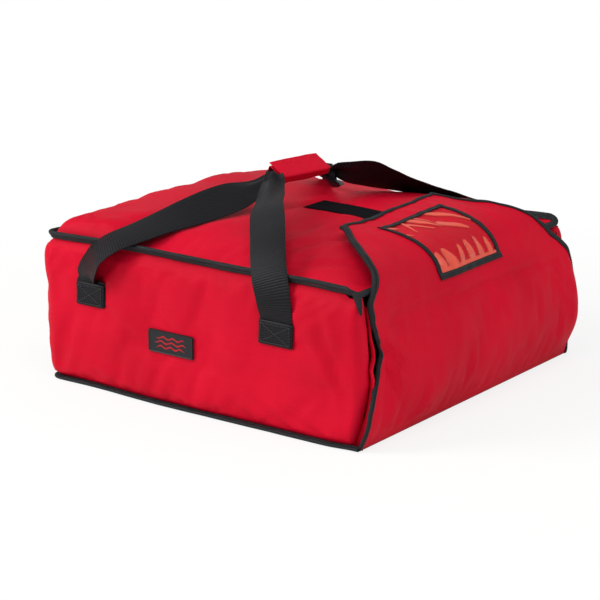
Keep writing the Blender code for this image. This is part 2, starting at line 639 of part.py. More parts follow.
def bind_flap_edge(name, stations, material, pivot):
    """Folded tape along the flap's edge: stations give length, place across and outward way."""
    total = FABRIC + FLAP_FOAM_EDGE + LINER + 2 * CLEARANCE
    lip = FLAP_LIP_GAP
    half_lap = FLAP_TAPE_LAP / 2
    outer = ((FLAP_TAPE_LAP, -lip - TAPE), (half_lap, -lip - TAPE), (0.0, -lip - TAPE),
             (-CLEARANCE - TAPE, total / 4), (-CLEARANCE - TAPE, total * 3 / 4),
             (0.0, total + lip + TAPE), (FLAP_TAPE_LAP, total + lip + TAPE))
    inner = ((FLAP_TAPE_LAP, -lip), (half_lap, -lip), (0.0, -lip), (-CLEARANCE, total / 4),
             (-CLEARANCE, total * 3 / 4), (0.0, total + lip), (FLAP_TAPE_LAP, total + lip))
    place = np.array(stations)
    grids = []
    for section in (outer, inner):
        columns = []
        for inward, depth in section:
            length = place[:, 0] - inward * place[:, 2]
            across = place[:, 1] - inward * place[:, 3]
            columns.append(flap_point(length, across, depth))
        grids.append(np.stack(columns, 1))
    shell_solid(name, grids[0], grids[1], material, False, pivot)


def flap_side_stations(rows, direction):
    """Stations along one side edge, with the outward way square to the edge."""
    stations = []
    step = FLAP_LENGTH / PROFILE_STEPS
    for length in rows:
        slope = float(flap_half(length - step) - flap_half(length + step)) / (2 * step)
        scale = math.hypot(1, slope)
        stations.append((length, direction * float(flap_half(length)), slope / scale, direction / scale))
    return stations


def flap_rows(marks):
    """Rows through the given lengths, closer together where the flap bends."""
    turn = np.unwrap(np.arctan2(np.gradient(PROFILE_Z), np.gradient(PROFILE_X)))
    rows = []
    for low, high in zip(marks[:-1], marks[1:]):
        bend = abs(np.interp(high, PROFILE_LENGTH, turn) - np.interp(low, PROFILE_LENGTH, turn))
        count = math.ceil(max((high - low) / FLAP_ROW_PITCH, bend / FLAP_ROW_TURN))
        rows += list(np.linspace(low, high, count + 1)[:-1])
    return np.array(rows + [marks[-1]])


def build_flap(materials, mouth_pivot, fold_pivot):
    """Both stretches of the flap with their binding, the window and the hook strip."""
    lower_rows = flap_rows([FLAP_START, FOLD_LENGTH - CLEARANCE / 2])
    build_flap_layers("flap_lower", lower_rows, materials, mouth_pivot)
    tape_rows = np.concatenate([[FLAP_START + TAPE], lower_rows[1:]])
    for name, direction in (("flap_lower_binding_front", -1.0), ("flap_lower_binding_back", 1.0)):
        bind_flap_edge(name, flap_side_stations(tape_rows, direction), materials["tape"], mouth_pivot)

    window_low = FOLD_LENGTH + WINDOW_START
    window_high = window_low + WINDOW_LENGTH
    marks = sorted([FOLD_LENGTH + CLEARANCE / 2, window_low, window_low + WINDOW_BOTTOM_TAPE,
                    BEND_LENGTH - FLAP_CORNER_CUT, BEND_LENGTH + FLAP_CORNER_CUT,
                    window_high - WINDOW_TAPE, window_high,
                    FLAP_LENGTH - FLAP_EDGE_ZONE, FLAP_LENGTH])
    upper_rows = flap_rows(marks)
    build_flap_layers("flap_upper", upper_rows, materials, fold_pivot)

    front = flap_side_stations(upper_rows[:-1], -1.0)
    back = flap_side_stations(upper_rows[:-1], 1.0)
    slope = (FLAP_BEND_HALF - FLAP_FREE_HALF) / (FLAP_LENGTH - BEND_LENGTH)
    scale = math.hypot(1, slope)
    mitre = (1.0, (1 - slope / scale) * scale)
    corner_front = (FLAP_LENGTH, -FLAP_FREE_HALF, mitre[0], -mitre[1])
    corner_back = (FLAP_LENGTH, FLAP_FREE_HALF, mitre[0], mitre[1])
    edge_y = np.linspace(-FLAP_FREE_HALF, FLAP_FREE_HALF, 5)[1:-1]
    edge = [(FLAP_LENGTH, float(y), 1.0, 0.0) for y in edge_y]
    bind_flap_edge("flap_upper_binding", front + [corner_front] + edge + [corner_back] + back[::-1],
                   materials["tape"], fold_pivot)
    build_window(upper_rows, window_low, window_high, materials, fold_pivot)

    total = FABRIC + FLAP_FOAM + LINER + 2 * CLEARANCE
    hook_high = FLAP_LENGTH - HOOK_FROM_EDGE - FLAP_EDGE_RAMP / 2
    hook_rows = np.linspace(hook_high - HOOK_LENGTH, hook_high, 8)
    patch_on_flap("hook_strip", hook_rows, (-LOOP_HALF, 0.0, LOOP_HALF), total + CLEARANCE,
                  STRIP_THICKNESS, materials["hook"], fold_pivot)


def patch_on_flap(name, rows, places, depth, thickness, material, pivot):
    """Thin sheet that follows the flap; a negative depth lies outside it."""
    length, y = np.meshgrid(rows, places, indexing="ij")
    shell_solid(name, flap_point(length, y, depth), flap_point(length, y, depth + thickness),
                material, False, pivot)


def build_window(rows, low, high, materials, pivot):
    """Clear sheet over the flap's fabric, with binding tape over its four edges."""
    inside = rows[(rows >= low - CLEARANCE) & (rows <= high + CLEARANCE)]
    cover = WINDOW_TAPE - WINDOW_TAPE_COVER
    sheet_half = WINDOW_HALF - cover
    sheet_rows = inside.copy()
    sheet_rows[0] = low + cover
    sheet_rows[-1] = high - cover
    near = -CLEARANCE - WINDOW_SHEET
    patch_on_flap("document_window", sheet_rows, (-sheet_half, 0.0, sheet_half), near,
                  WINDOW_SHEET, materials["clear"], pivot)
    tape_depth = near - CLEARANCE - TAPE
    inner = WINDOW_HALF - WINDOW_TAPE
    middle_low = low + WINDOW_BOTTOM_TAPE
    middle_high = high - WINDOW_TAPE
    middle = inside[(inside >= middle_low - CLEARANCE) & (inside <= middle_high + CLEARANCE)].copy()
    middle[0] += CLEARANCE
    middle[-1] -= CLEARANCE
    for name, places in (("window_binding_front", (-WINDOW_HALF, -inner)),
                         ("window_binding_back", (inner, WINDOW_HALF))):
        patch_on_flap(name, middle, places, tape_depth, TAPE, materials["tape"], pivot)
    bottom_rows = inside[inside <= middle_low + CLEARANCE]
    top_rows = inside[inside >= middle_high - CLEARANCE]
    across = (-WINDOW_HALF, 0.0, WINDOW_HALF)
    patch_on_flap("window_binding_bottom", bottom_rows, across, tape_depth, TAPE, materials["tape"], pivot)
    patch_on_flap("window_binding_top", top_rows, across, tape_depth, TAPE, materials["tape"], pivot)


def build_loop_strip(materials):
    """Loop strip sewn on the top panel, running under the flap."""
    x = np.linspace(LOOP_START_X, LOOP_START_X + LOOP_LENGTH, 14)
    grid_x, grid_y = np.meshgrid(x, (-LOOP_HALF, 0.0, LOOP_HALF), indexing="ij")
    low = top_height(grid_x, grid_y) + CLEARANCE
    upper = np.stack([grid_x, grid_y, low + STRIP_THICKNESS], -1)
    lower = np.stack([grid_x, grid_y, low], -1)
    shell_solid("loop_strip", upper, lower, materials["loop"])


# Handles and grip

def wall_face():
    """Distance of the front and back walls' faces from the middle, where they are flat."""
    return SEAM_HALF_DEPTH + WALL_BULGE


def grip_axes():
    """Unit vectors of the grip: along it, across it to its near side, and up out of it."""
    along = np.array([math.sin(GRIP_TURN), math.cos(GRIP_TURN), 0.0])
    across = np.array([math.cos(GRIP_TURN) * math.cos(GRIP_TILT),
                       -math.sin(GRIP_TURN) * math.cos(GRIP_TILT), -math.sin(GRIP_TILT)])
    return along, across, np.cross(across, along)


def hermite(points, first_way, last_way, steps):
    """Smooth curve through points, with the way it starts and ends given as tangents."""
    points = np.asarray(points, float)
    tangents = np.empty_like(points)
    tangents[1:-1] = (points[2:] - points[:-2]) / 2
    tangents[0] = first_way
    tangents[-1] = last_way
    u = np.linspace(0, len(points) - 1, steps)
    i = np.minimum(u.astype(int), len(points) - 2)
    t = (u - i)[:, None]
    return ((2 * t ** 3 - 3 * t ** 2 + 1) * points[i] + (t ** 3 - 2 * t ** 2 + t) * tangents[i]
            + (3 * t ** 2 - 2 * t ** 3) * points[i + 1] + (t ** 3 - t ** 2) * tangents[i + 1])


def handle_leg(x, leg_shares, width_shares, layer, facing):
    """Centre line, width and ways of one leg, from its wall into the mouth of the grip."""
    along, across, up = grip_axes()
    y = facing * (wall_face() + CLEARANCE + WEBBING / 2)
    start = np.array([x, y, HANDLE_LEAVE_Z])
    mouth = np.array(GRIP_CENTRE) + up * layer + along * facing * (GRIP_LENGTH / 2)
    near = mouth + along * facing * GRIP_ENTRY
    span = near - start
    points = [start] + [start + span * np.array(share) for share in leg_shares] + [near]
    ways = [(1.0, 0.0, 0.0)] + list(width_shares) + [tuple(across)]
    wide = [WEBBING_WIDTH] * (len(points) - 1) + [GRIP_WEBBING_WIDTH]
    step = np.array([0.0, 0.0, span[2] * leg_shares[0][2]])
    inward = -along * facing * np.linalg.norm(near - points[-2])
    line = hermite(points, step, inward, LEG_STEPS)
    way = hermite(ways, (0.0, 0.0, 0.0), (0.0, 0.0, 0.0), LEG_STEPS)
    width = np.interp(np.linspace(0, len(points) - 1, LEG_STEPS), range(len(points)), wide)
    foot = np.array([[x, y, HANDLE_END_Z]])
    line = np.concatenate([foot, line, [mouth]])
    way = np.concatenate([[ways[0]], way, [across]])
    width = np.concatenate([[WEBBING_WIDTH], width, [GRIP_WEBBING_WIDTH]])
    return line, way, width


def webbing_thickness(width):
    """The webbing is folded lengthwise where it narrows, so its section keeps one area."""
    return WEBBING * WEBBING_WIDTH / width


def build_handle(name, x, front, back, layer, material):
    """One webbing strip from the front wall, through the grip, to the back wall."""
    line, way, width = handle_leg(x, front[0], front[1], layer, -1.0)
    other, other_way, other_width = handle_leg(x, back[0], back[1], layer, 1.0)
    mouths = range(len(line) - 2, len(line) + 2)
    line = np.concatenate([line, other[::-1]])
    way = np.concatenate([way, other_way[::-1]])
    width = np.concatenate([width, other_width[::-1]])
    tangent = np.gradient(line, axis=0)
    for mouth in mouths:
        tangent[mouth] = grip_axes()[0]
    tangent[0] = tangent[1] = line[1] - line[0]
    tangent[-1] = tangent[-2] = line[-1] - line[-2]
    tangent /= np.linalg.norm(tangent, axis=1)[:, None]
    way = way - tangent * np.sum(way * tangent, axis=1)[:, None]
    way /= np.linalg.norm(way, axis=1)[:, None]
    normal = np.cross(way, tangent)
    edges = [line + way * (width * share)[:, None] for share in (-0.5, 0.0, 0.5)]
    half = webbing_thickness(width)[:, None] / 2
    upper = np.stack([edge + normal * half for edge in edges], 1)
    lower = np.stack([edge - normal * half for edge in edges], 1)
    shell_solid(name, upper, lower, material)


def mirrored(shares):
    """Width ways of a leg seen in the plane y = 0."""
    return tuple((x, -y, z) for x, y, z in shares)


def build_handles(materials):
    """Both handles, and the square patch sewn over each of their four ends."""
    layer = (webbing_thickness(GRIP_WEBBING_WIDTH) + CLEARANCE) / 2
    left_x = HANDLE_CENTRE_X - HANDLE_SPACING / 2
    right_x = HANDLE_CENTRE_X + HANDLE_SPACING / 2
    build_handle("left_handle_webbing", left_x, (LEFT_LEG_SHARES, LEFT_WIDTH_SHARES),
                 (LEFT_LEG_SHARES, mirrored(LEFT_WIDTH_SHARES)), -layer, materials["webbing"])
    build_handle("right_handle_webbing", right_x, (RIGHT_LEG_SHARES, RIGHT_WIDTH_SHARES),
                 (BACK_RIGHT_LEG_SHARES, BACK_RIGHT_WIDTH_SHARES), layer, materials["webbing"])
    near = wall_face() + 2 * CLEARANCE + WEBBING
    for place, x in (("left", left_x), ("right", right_x)):
        for wall, facing in (("front", -1.0), ("back", 1.0)):
            box_solid("handle_patch_" + wall + "_" + place,
                      (x - PATCH_WIDTH / 2, x + PATCH_WIDTH / 2),
                      sorted((facing * near, facing * (near + WEBBING))),
                      (PATCH_Z - PATCH_HEIGHT / 2, PATCH_Z + PATCH_HEIGHT / 2), materials["webbing"])


def box_solid(name, x, y, z, material):
    """Plain flat piece between two places along each axis."""
    outer = [[(x[0], y[0], z[1]), (x[0], y[1], z[1])], [(x[1], y[0], z[1]), (x[1], y[1], z[1])]]
    inner = [[(x[0], y[0], z[0]), (x[0], y[1], z[0])], [(x[1], y[0], z[0]), (x[1], y[1], z[0])]]
    return shell_solid(name, outer, inner, material)


def grip_sheet(name, outer, inner, length, material, pivot):
    """Sheet with one cross-section along the grip; points are across and up from its centre."""
    along, across, up = grip_axes()
    grids = []
    for section in (outer, inner):
        ends = []
        for end in (-length / 2, length / 2):
            ends.append([np.array(GRIP_CENTRE) + along * end + across * a + up * b for a, b in section])
        grids.append(ends)
    shell_solid(name, grids[0], grids[1], material, False, pivot)


def cut_corner_path(points, size):
    """Polyline with each inner corner replaced by a short chamfer of the given size."""
    points = [np.array(p, float) for p in points]
    path = [points[0]]
    for before, corner, after in zip(points[:-2], points[1:-1], points[2:]):
        for other in (before, after):
            way = other - corner
            path.append(corner + way / np.linalg.norm(way) * size)
    path.append(points[-1])
    return [tuple(p) for p in path]


def grip_levels():
    """Heights of the grip's layers, from the middle between the two webbings outwards."""
    pad = CLEARANCE / 2 + webbing_thickness(GRIP_WEBBING_WIDTH) + CLEARANCE
    wrap = pad + GRIP_PADDING + CLEARANCE
    outside = wrap + FABRIC
    loop = outside + CLEARANCE
    hook = loop + GRIP_PAD_THICKNESS + CLEARANCE
    flap = hook + GRIP_PAD_THICKNESS + CLEARANCE
    return pad, wrap, outside, loop, hook, flap


def c_section(half_inner, level_inner, thickness, near_end, inner_cut, outer_cut):
    """Sheet under, round the far side and over the webbing, open towards the near side."""
    half = half_inner + thickness
    level = level_inner + thickness
    outer = [(near_end, -level), (-half, -level), (-half, level), (near_end, level)]
    inner = [(near_end, -level_inner), (-half_inner, -level_inner), (-half_inner, level_inner),
             (near_end, level_inner)]
    return cut_corner_path(outer, outer_cut), cut_corner_path(inner, inner_cut)


def build_grip(materials, grip_pivot, flap_pivot):
    """Padded wrap round both webbings, and its closing flap with hook and loop pads."""
    pad, wrap, outside, loop, hook, flap = grip_levels()
    half_pad = GRIP_WEBBING_WIDTH / 2 + CLEARANCE
    half_wrap = half_pad + GRIP_PADDING + CLEARANCE
    near_end = half_pad
    outer, inner = c_section(half_pad, pad, GRIP_PADDING, near_end, CLEARANCE, GRIP_PADDING)
    grip_sheet("grip_padding", outer, inner, GRIP_LENGTH - 2 * CLEARANCE, materials["foam"], grip_pivot)
    outer, inner = c_section(half_wrap, wrap, FABRIC, near_end, GRIP_PADDING, GRIP_PADDING)
    grip_sheet("grip_wrap", outer, inner, GRIP_LENGTH, materials["nylon"], grip_pivot)
    pad_half = GRIP_PAD_WIDTH / 2
    pad_length = GRIP_LENGTH - GRIP_PAD_WIDTH / 2
    for name, low, pivot, key in (("grip_loop_pad", loop, grip_pivot, "loop"),
                                  ("grip_hook_pad", hook, flap_pivot, "hook")):
        top = [(-pad_half, low + GRIP_PAD_THICKNESS), (pad_half, low + GRIP_PAD_THICKNESS)]
        bottom = [(-pad_half, low), (pad_half, low)]
        grip_sheet(name, top, bottom, pad_length, materials[key], pivot)
    near = near_end + CLEARANCE
    far = -(half_wrap + FABRIC)
    outer = [(near + FABRIC, -outside), (near + FABRIC, flap + FABRIC), (far, flap + FABRIC)]
    inner = [(near, -outside), (near, flap), (far, flap)]
    grip_sheet("grip_flap", cut_corner_path(outer, 2 * FABRIC), cut_corner_path(inner, FABRIC),
               GRIP_LENGTH, materials["nylon"], flap_pivot)


def grip_flap_hinge():
    """Place of the wrap's hinge line: the near lower edge of the grip."""
    _, across, up = grip_axes()
    outside = grip_levels()[2]
    near = GRIP_WEBBING_WIDTH / 2 + 2 * CLEARANCE + FABRIC + GRIP_CREASE
    return tuple(np.array(GRIP_CENTRE) + across * near - up * (outside + GRIP_CREASE))


def build_plate(materials):
    """Label plate: a flat plate whose field is sunk inside a raised rim."""
    near = wall_face() + CLEARANCE
    work = bmesh.new()
    bmesh.ops.create_cube(work, size=1.0)
    bmesh.ops.scale(work, vec=(PLATE_LENGTH, PLATE_THICKNESS, PLATE_HEIGHT), verts=work.verts)
    front = min(work.faces, key=lambda face: face.calc_center_median().y)
    bmesh.ops.inset_individual(work, faces=[front], thickness=PLATE_RIM)
    bmesh.ops.translate(work, vec=(0.0, PLATE_RECESS, 0.0), verts=front.verts)
    centre = (PLATE_CENTRE_X, -(near + PLATE_THICKNESS / 2), PLATE_CENTRE_Z)
    vertices = [np.array(v.co) + centre for v in work.verts]
    faces = [[v.index for v in face.verts] for face in work.faces]
    work.free()
    solid_from_faces("label_plate", vertices, faces, materials["plate"])


def main():
    remove_everything()
    materials = {
        "nylon": make_material("red_nylon", (0.578, 0.005, 0.027), 0.62),
        "foam": make_material("insulation_foam", (0.85, 0.85, 0.83), 0.9),
        "liner": make_material("black_liner", (0.02, 0.02, 0.022), 0.55),
        "tape": make_material("charcoal_binding_tape", (0.03, 0.036, 0.04), 0.75),
        "webbing": make_material("black_webbing", (0.022, 0.022, 0.025), 0.7),
        "loop": make_material("loop_fastener", (0.009, 0.008, 0.01), 0.95),
        "hook": make_material("hook_fastener", (0.012, 0.012, 0.013), 0.8),
        "clear": make_material("clear_sheet", (0.9, 0.9, 0.9), 0.08, 0.0, 0.3),
        "plate": make_material("label_rubber", (0.03, 0.03, 0.032), 0.5),
    }
    mouth_pivot = make_pivot("mouth_hinge", MOUTH_HINGE)
    fold_pivot = make_pivot("fold_hinge", FOLD_HINGE, mouth_pivot)
    grip_pivot = make_pivot("grip_centre", GRIP_CENTRE)
    flap_pivot = make_pivot("grip_flap_hinge", grip_flap_hinge(), grip_pivot)
    build_top(materials)
    build_bottom(materials)
    build_band(materials)
    build_batts(materials)
    build_hems(materials)
    build_loop_strip(materials)
    build_plate(materials)
    build_flap(materials, mouth_pivot, fold_pivot)
    build_handles(materials)
    build_grip(materials, grip_pivot, flap_pivot)


main()
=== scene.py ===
# %% [markdown]
# # A padded pizza delivery bag
# The bag is a soft fabric box, 495 mm wide, 500 mm deep and about 230 mm high at its crown. It
# opens at one end, where a padded flap rises from the floor, covers the mouth, bends over the
# top edge and lies on the top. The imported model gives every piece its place, in metres, with
# +X along the front wall to the mouth, +Y from the front wall to the back wall and +Z up.

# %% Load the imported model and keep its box
import math

import bmesh
import bpy
import numpy as np
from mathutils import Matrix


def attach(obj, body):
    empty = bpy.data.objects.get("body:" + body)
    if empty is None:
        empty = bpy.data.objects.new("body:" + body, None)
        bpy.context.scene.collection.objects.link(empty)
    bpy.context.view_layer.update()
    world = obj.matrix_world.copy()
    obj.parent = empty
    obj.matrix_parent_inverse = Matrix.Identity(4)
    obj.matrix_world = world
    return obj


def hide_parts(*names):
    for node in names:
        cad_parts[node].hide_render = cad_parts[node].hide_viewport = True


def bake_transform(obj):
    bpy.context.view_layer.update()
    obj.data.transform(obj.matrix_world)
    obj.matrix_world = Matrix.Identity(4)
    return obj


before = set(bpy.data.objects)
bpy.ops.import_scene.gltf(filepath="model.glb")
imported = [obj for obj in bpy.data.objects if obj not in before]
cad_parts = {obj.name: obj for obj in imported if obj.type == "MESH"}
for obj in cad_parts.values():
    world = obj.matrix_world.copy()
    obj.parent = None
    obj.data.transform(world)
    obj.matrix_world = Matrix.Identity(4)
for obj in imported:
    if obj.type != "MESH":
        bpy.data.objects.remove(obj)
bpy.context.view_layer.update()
scene = bpy.context.scene

# %% [markdown]
# ## Camera
# The camera comes first, because every later piece is judged through it. It stands at the
# front mouth corner, 16 degrees above level, with a long lens: the four upright edges of the
# bag stay almost parallel in the picture.

# %% Camera
def turn_to(place, target):
    """Upright rotation that turns the -Z of a camera or lamp from its place to a target."""
    way = np.array(place, float) - np.array(target, float)
    return math.acos(way[2] / np.linalg.norm(way)), 0.0, math.atan2(way[0], -way[1])


def add_object(name, data, place=(0, 0, 0), turned=(0, 0, 0)):
    """Object made from its data and linked to the scene."""
    made = bpy.data.objects.new(name, data)
    made.location, made.rotation_euler = place, turned
    scene.collection.objects.link(made)
    return made


camera_place, camera_target = (1.74711, -2.41770, 0.94623), (-0.01102, -0.01058, 0.09286)
camera_data = bpy.data.cameras.new("photo_camera")
camera_data.lens, camera_data.sensor_width, camera_data.clip_end = 136.03, 36.0, 60.0
camera = add_object("photo_camera", camera_data, camera_place, turn_to(camera_place, camera_target))
scene.camera = camera
print("camera turned", [round(math.degrees(angle), 2) for angle in camera.rotation_euler])

# %% [markdown]
# ## Light
# Plain studio light: a pale world from all sides, a broad lamp above the front left, which
# makes the front wall the brightest, and two weak ones so that the mouth stays darker. The
# floor is white paper; to the camera it is partly a light of strength 1, so it looks white,
# and the rest of it keeps the bag's shadow.

# %% Colours, nodes, world, lamps and floor
def colour_of(code):
    """Linear colour of an sRGB hex value: each share to the power 2.4 above its short foot."""
    share = np.array([int(code[i:i + 2], 16) / 255 for i in (1, 3, 5)])
    linear = np.where(share <= 0.04045, share / 12.92, ((share + 0.055) / 1.055) ** 2.4)
    return (*[float(value) for value in linear], 1.0)


def add_node(tree, kind, inputs=None, **settings):
    """Add one shader node; inputs give each socket a plain value or the socket it reads."""
    made = tree.nodes.new(kind)
    for key, value in settings.items():
        setattr(made, key, value)
    for socket, value in (inputs or {}).items():
        if isinstance(value, bpy.types.NodeSocket):
            tree.links.new(value, made.inputs[socket])
        else:
            made.inputs[socket].default_value = value
    return made


def new_finish(name):
    """An empty node material, returned with its tree."""
    material = bpy.data.materials.new(name)
    material.use_nodes = True
    material.node_tree.nodes.clear()
    return material, material.node_tree


def seen_directly(tree):
    """Socket that is 1 where the camera looks straight or through the film, and 0 elsewhere."""
    path = add_node(tree, "ShaderNodeLightPath")
    rays = {0: path.outputs["Is Camera Ray"], 1: path.outputs["Is Transmission Ray"]}
    return add_node(tree, "ShaderNodeMath", rays, operation="MAXIMUM").outputs[0]


world = bpy.data.worlds.new("studio")
scene.world = world
world.use_nodes = True
tree = world.node_tree
tree.nodes.clear()
strength = add_node(tree, "ShaderNodeMapRange", {0: seen_directly(tree), 3: 0.47, 4: 1.0})
ground = add_node(tree, "ShaderNodeBackground", {"Color": colour_of("#FFFFFF"),
                                                 "Strength": strength.outputs[0]})
add_node(tree, "ShaderNodeOutputWorld", {0: ground.outputs[0]})
for name, place, target, size, watts in (
        ("key_lamp", (-1.9, -2.1, 2.0), (-0.1, -0.1, 0.1), 1.4, 74),
        ("top_lamp", (1.0, -1.1, 2.6), (0.1, 0.0, 0.15), 1.8, 24),
        ("mouth_lamp", (2.4, 0.6, 1.3), (0.1, 0.0, 0.1), 1.6, 13)):
    data = bpy.data.lights.new(name, "AREA")
    data.shape, data.size, data.energy = "SQUARE", size, watts
    add_object(name, data, place, turn_to(place, target))

paper, tree = new_finish("white_paper_floor")
spot = add_node(tree, "ShaderNodeTexCoord")
far = add_node(tree, "ShaderNodeVectorMath", {0: spot.outputs["Object"]}, operation="LENGTH")
white = add_node(tree, "ShaderNodeMapRange", {0: far.outputs["Value"], 1: 0.45, 2: 1.0, 3: 0.80, 4: 1.0},
                 interpolation_type="SMOOTHSTEP")
share = add_node(tree, "ShaderNodeMath", {0: seen_directly(tree), 1: white.outputs[0]},
                 operation="MULTIPLY")
matt = add_node(tree, "ShaderNodeBsdfDiffuse", {"Color": colour_of("#F4F4F2")})
glow = add_node(tree, "ShaderNodeEmission", {"Color": colour_of("#FFFFFF"), "Strength": 1.0})
mixed = add_node(tree, "ShaderNodeMixShader", {0: share.outputs[0], 1: matt.outputs[0],
                                               2: glow.outputs[0]})
add_node(tree, "ShaderNodeOutputMaterial", {"Surface": mixed.outputs[0]})
floor_mesh = bpy.data.meshes.new("floor")
floor_mesh.from_pydata([(-14, -14, 0), (14, -14, 0), (14, 14, 0), (-14, 14, 0)], [], [(0, 1, 2, 3)])
floor_mesh.materials.append(paper)
floor = add_object("floor", floor_mesh)
scene.view_settings.view_transform = "Standard"
print("world, 3 lamps and a white floor")

# %% [markdown]
# ## Surfaces from grids
# Every cloth piece here is a function of two parameters, worked out on a grid as whole arrays.
# A `sheet` becomes a mesh of quads with a UV map in metres, so that one metre of UV is one
# metre of cloth and the weave keeps its size. Points that fall together, as at a seam of the
# grid or a squeezed corner, are merged. The faces are turned outwards by comparing them with
# a point inside the bag. A `slab` joins two such grids into a closed body with a rim.

# %% Grids and unevenness
up3 = np.array([0.0, 0.0, 1.0])


def lay(a, b):
    """Two parameters on one grid, the first down its rows and the second along them."""
    return np.meshgrid(a, b, indexing="ij")


def unit(ways):
    """Ways brought to length 1."""
    return ways / np.linalg.norm(ways, axis=-1, keepdims=True)


def run_along(line):
    """Length along a line of points, 0 at its start."""
    return np.r_[0, np.cumsum(np.linalg.norm(np.diff(line, axis=0), axis=1))]


def resample(at, run, points):
    """Points at given lengths along a line whose own points lie at the lengths of run."""
    return np.stack([np.interp(at, run, column) for column in points.T], -1)


def ripple(a, b, length, seed, count=9):
    """Soft unevenness, about -1 to 1: a sum of sine waves of mixed ways, lengths and starts."""
    rng = np.random.default_rng(seed)
    way, start = rng.uniform(0, 2 * np.pi, (2, count))
    size = length * rng.uniform(0.7, 1.7, count)
    a, b = np.asarray(a)[..., None], np.asarray(b)[..., None]
    return np.sin(2 * np.pi * (a * np.cos(way) + b * np.sin(way)) / size + start).sum(-1) / (
        1.5 * math.sqrt(count))


def waver(run, length, seed):
    """The same unevenness along a line."""
    return ripple(run, 0 * run, length, seed)


def ease(value, low, high):
    """0 below low, 1 above high, and a smooth S between them."""
    share = np.clip((np.asarray(value, float) - low) / (high - low), 0, 1)
    return share * share * (3 - 2 * share)


def creases(a, b, marks):
    """Folds along straights, each marked by its start, end, width and depth inwards: a valley
    exp(-(d/width)^2) with a lower ridge on each side, which fades towards both of its ends."""
    total = 0.0
    for start, end, width, depth in marks:
        start, end = np.array(start), np.array(end)
        size = np.linalg.norm(end - start)
        way = (end - start) / size
        along = ((a - start[0]) * way[0] + (b - start[1]) * way[1]) / size
        off = ((b - start[1]) * way[0] - (a - start[0]) * way[1]) / width
        fade = ease(along, -0.15, 0.2) * (1 - ease(along, 0.8, 1.15))
        total = total + depth * fade * (np.exp(-off ** 2) - 0.45 * np.exp(-(np.abs(off) - 1.9) ** 2))
    return total


def grid_quads(rows, columns):
    """Corner numbers of the quads between neighbouring points of a grid."""
    i, j = lay(np.arange(rows - 1), np.arange(columns - 1))
    first = (i * columns + j).ravel()
    return np.stack([first, first + columns, first + columns + 1, first + 1], -1)


def spread(points):
    """UV of a grid from its own arc lengths: mean length along each column and each row."""
    down = np.linalg.norm(np.diff(points, axis=0), axis=2).mean(1)
    along = np.linalg.norm(np.diff(points, axis=1), axis=2).mean(0)
    return np.stack(lay(np.r_[0, np.cumsum(down)], np.r_[0, np.cumsum(along)]), -1)


print("grid helpers ready")

# %% [markdown]
# The grids become meshes here. A large sheet of cloth is also simulated: pinned where it is
# sewn and pressed outwards by the foam behind it.

# %% Meshes, sheets and slabs
def values_of(items, key, width=3):
    """One property of all of a mesh's vertices or faces, a row for each."""
    values = np.empty(len(items) * width)
    items.foreach_get(key, values)
    return values.reshape(-1, width)


def rework(mesh, job):
    """Let a job change the mesh, and shade it smoothly."""
    work = bmesh.new()
    work.from_mesh(mesh)
    job(work)
    work.to_mesh(mesh)
    work.free()
    mesh.shade_smooth()


def merge_by(distance):
    """Job that merges points closer than a distance."""
    def job(work):
        bmesh.ops.remove_doubles(work, verts=work.verts, dist=distance)
        bmesh.ops.dissolve_degenerate(work, edges=work.edges, dist=distance / 2)
    return job


def close_and_turn(work):
    """Job that closes five-sided holes, where a thread ends, and turns all faces outwards."""
    bmesh.ops.holes_fill(work, edges=[edge for edge in work.edges if edge.is_boundary], sides=5)
    bmesh.ops.recalc_face_normals(work, faces=work.faces)


def make_mesh(name, points, faces, uv, finish, merge=2e-5):
    """Mesh object at the origin from points, faces and one UV per point; doubles are merged."""
    mesh = bpy.data.meshes.new(name)
    mesh.from_pydata(points.reshape(-1, 3).tolist(), [], faces.tolist())
    layer = mesh.uv_layers.new(name="cloth")
    corners = np.empty(len(mesh.loops), np.int32)
    mesh.loops.foreach_get("vertex_index", corners)
    layer.data.foreach_set("uv", uv.reshape(-1, 2)[corners].astype(np.float32).ravel())
    rework(mesh, merge_by(merge))
    mesh.materials.append(finish)
    return add_object(name, mesh)


def turn_outwards(piece, inside):
    """Flip the faces if, summed over the piece, they look towards the inside point."""
    faces = piece.data.polygons
    away = ((values_of(faces, "center") - inside) * values_of(faces, "normal")).sum(1)
    if away @ values_of(faces, "area", 1)[:, 0] < 0:
        piece.data.flip_normals()


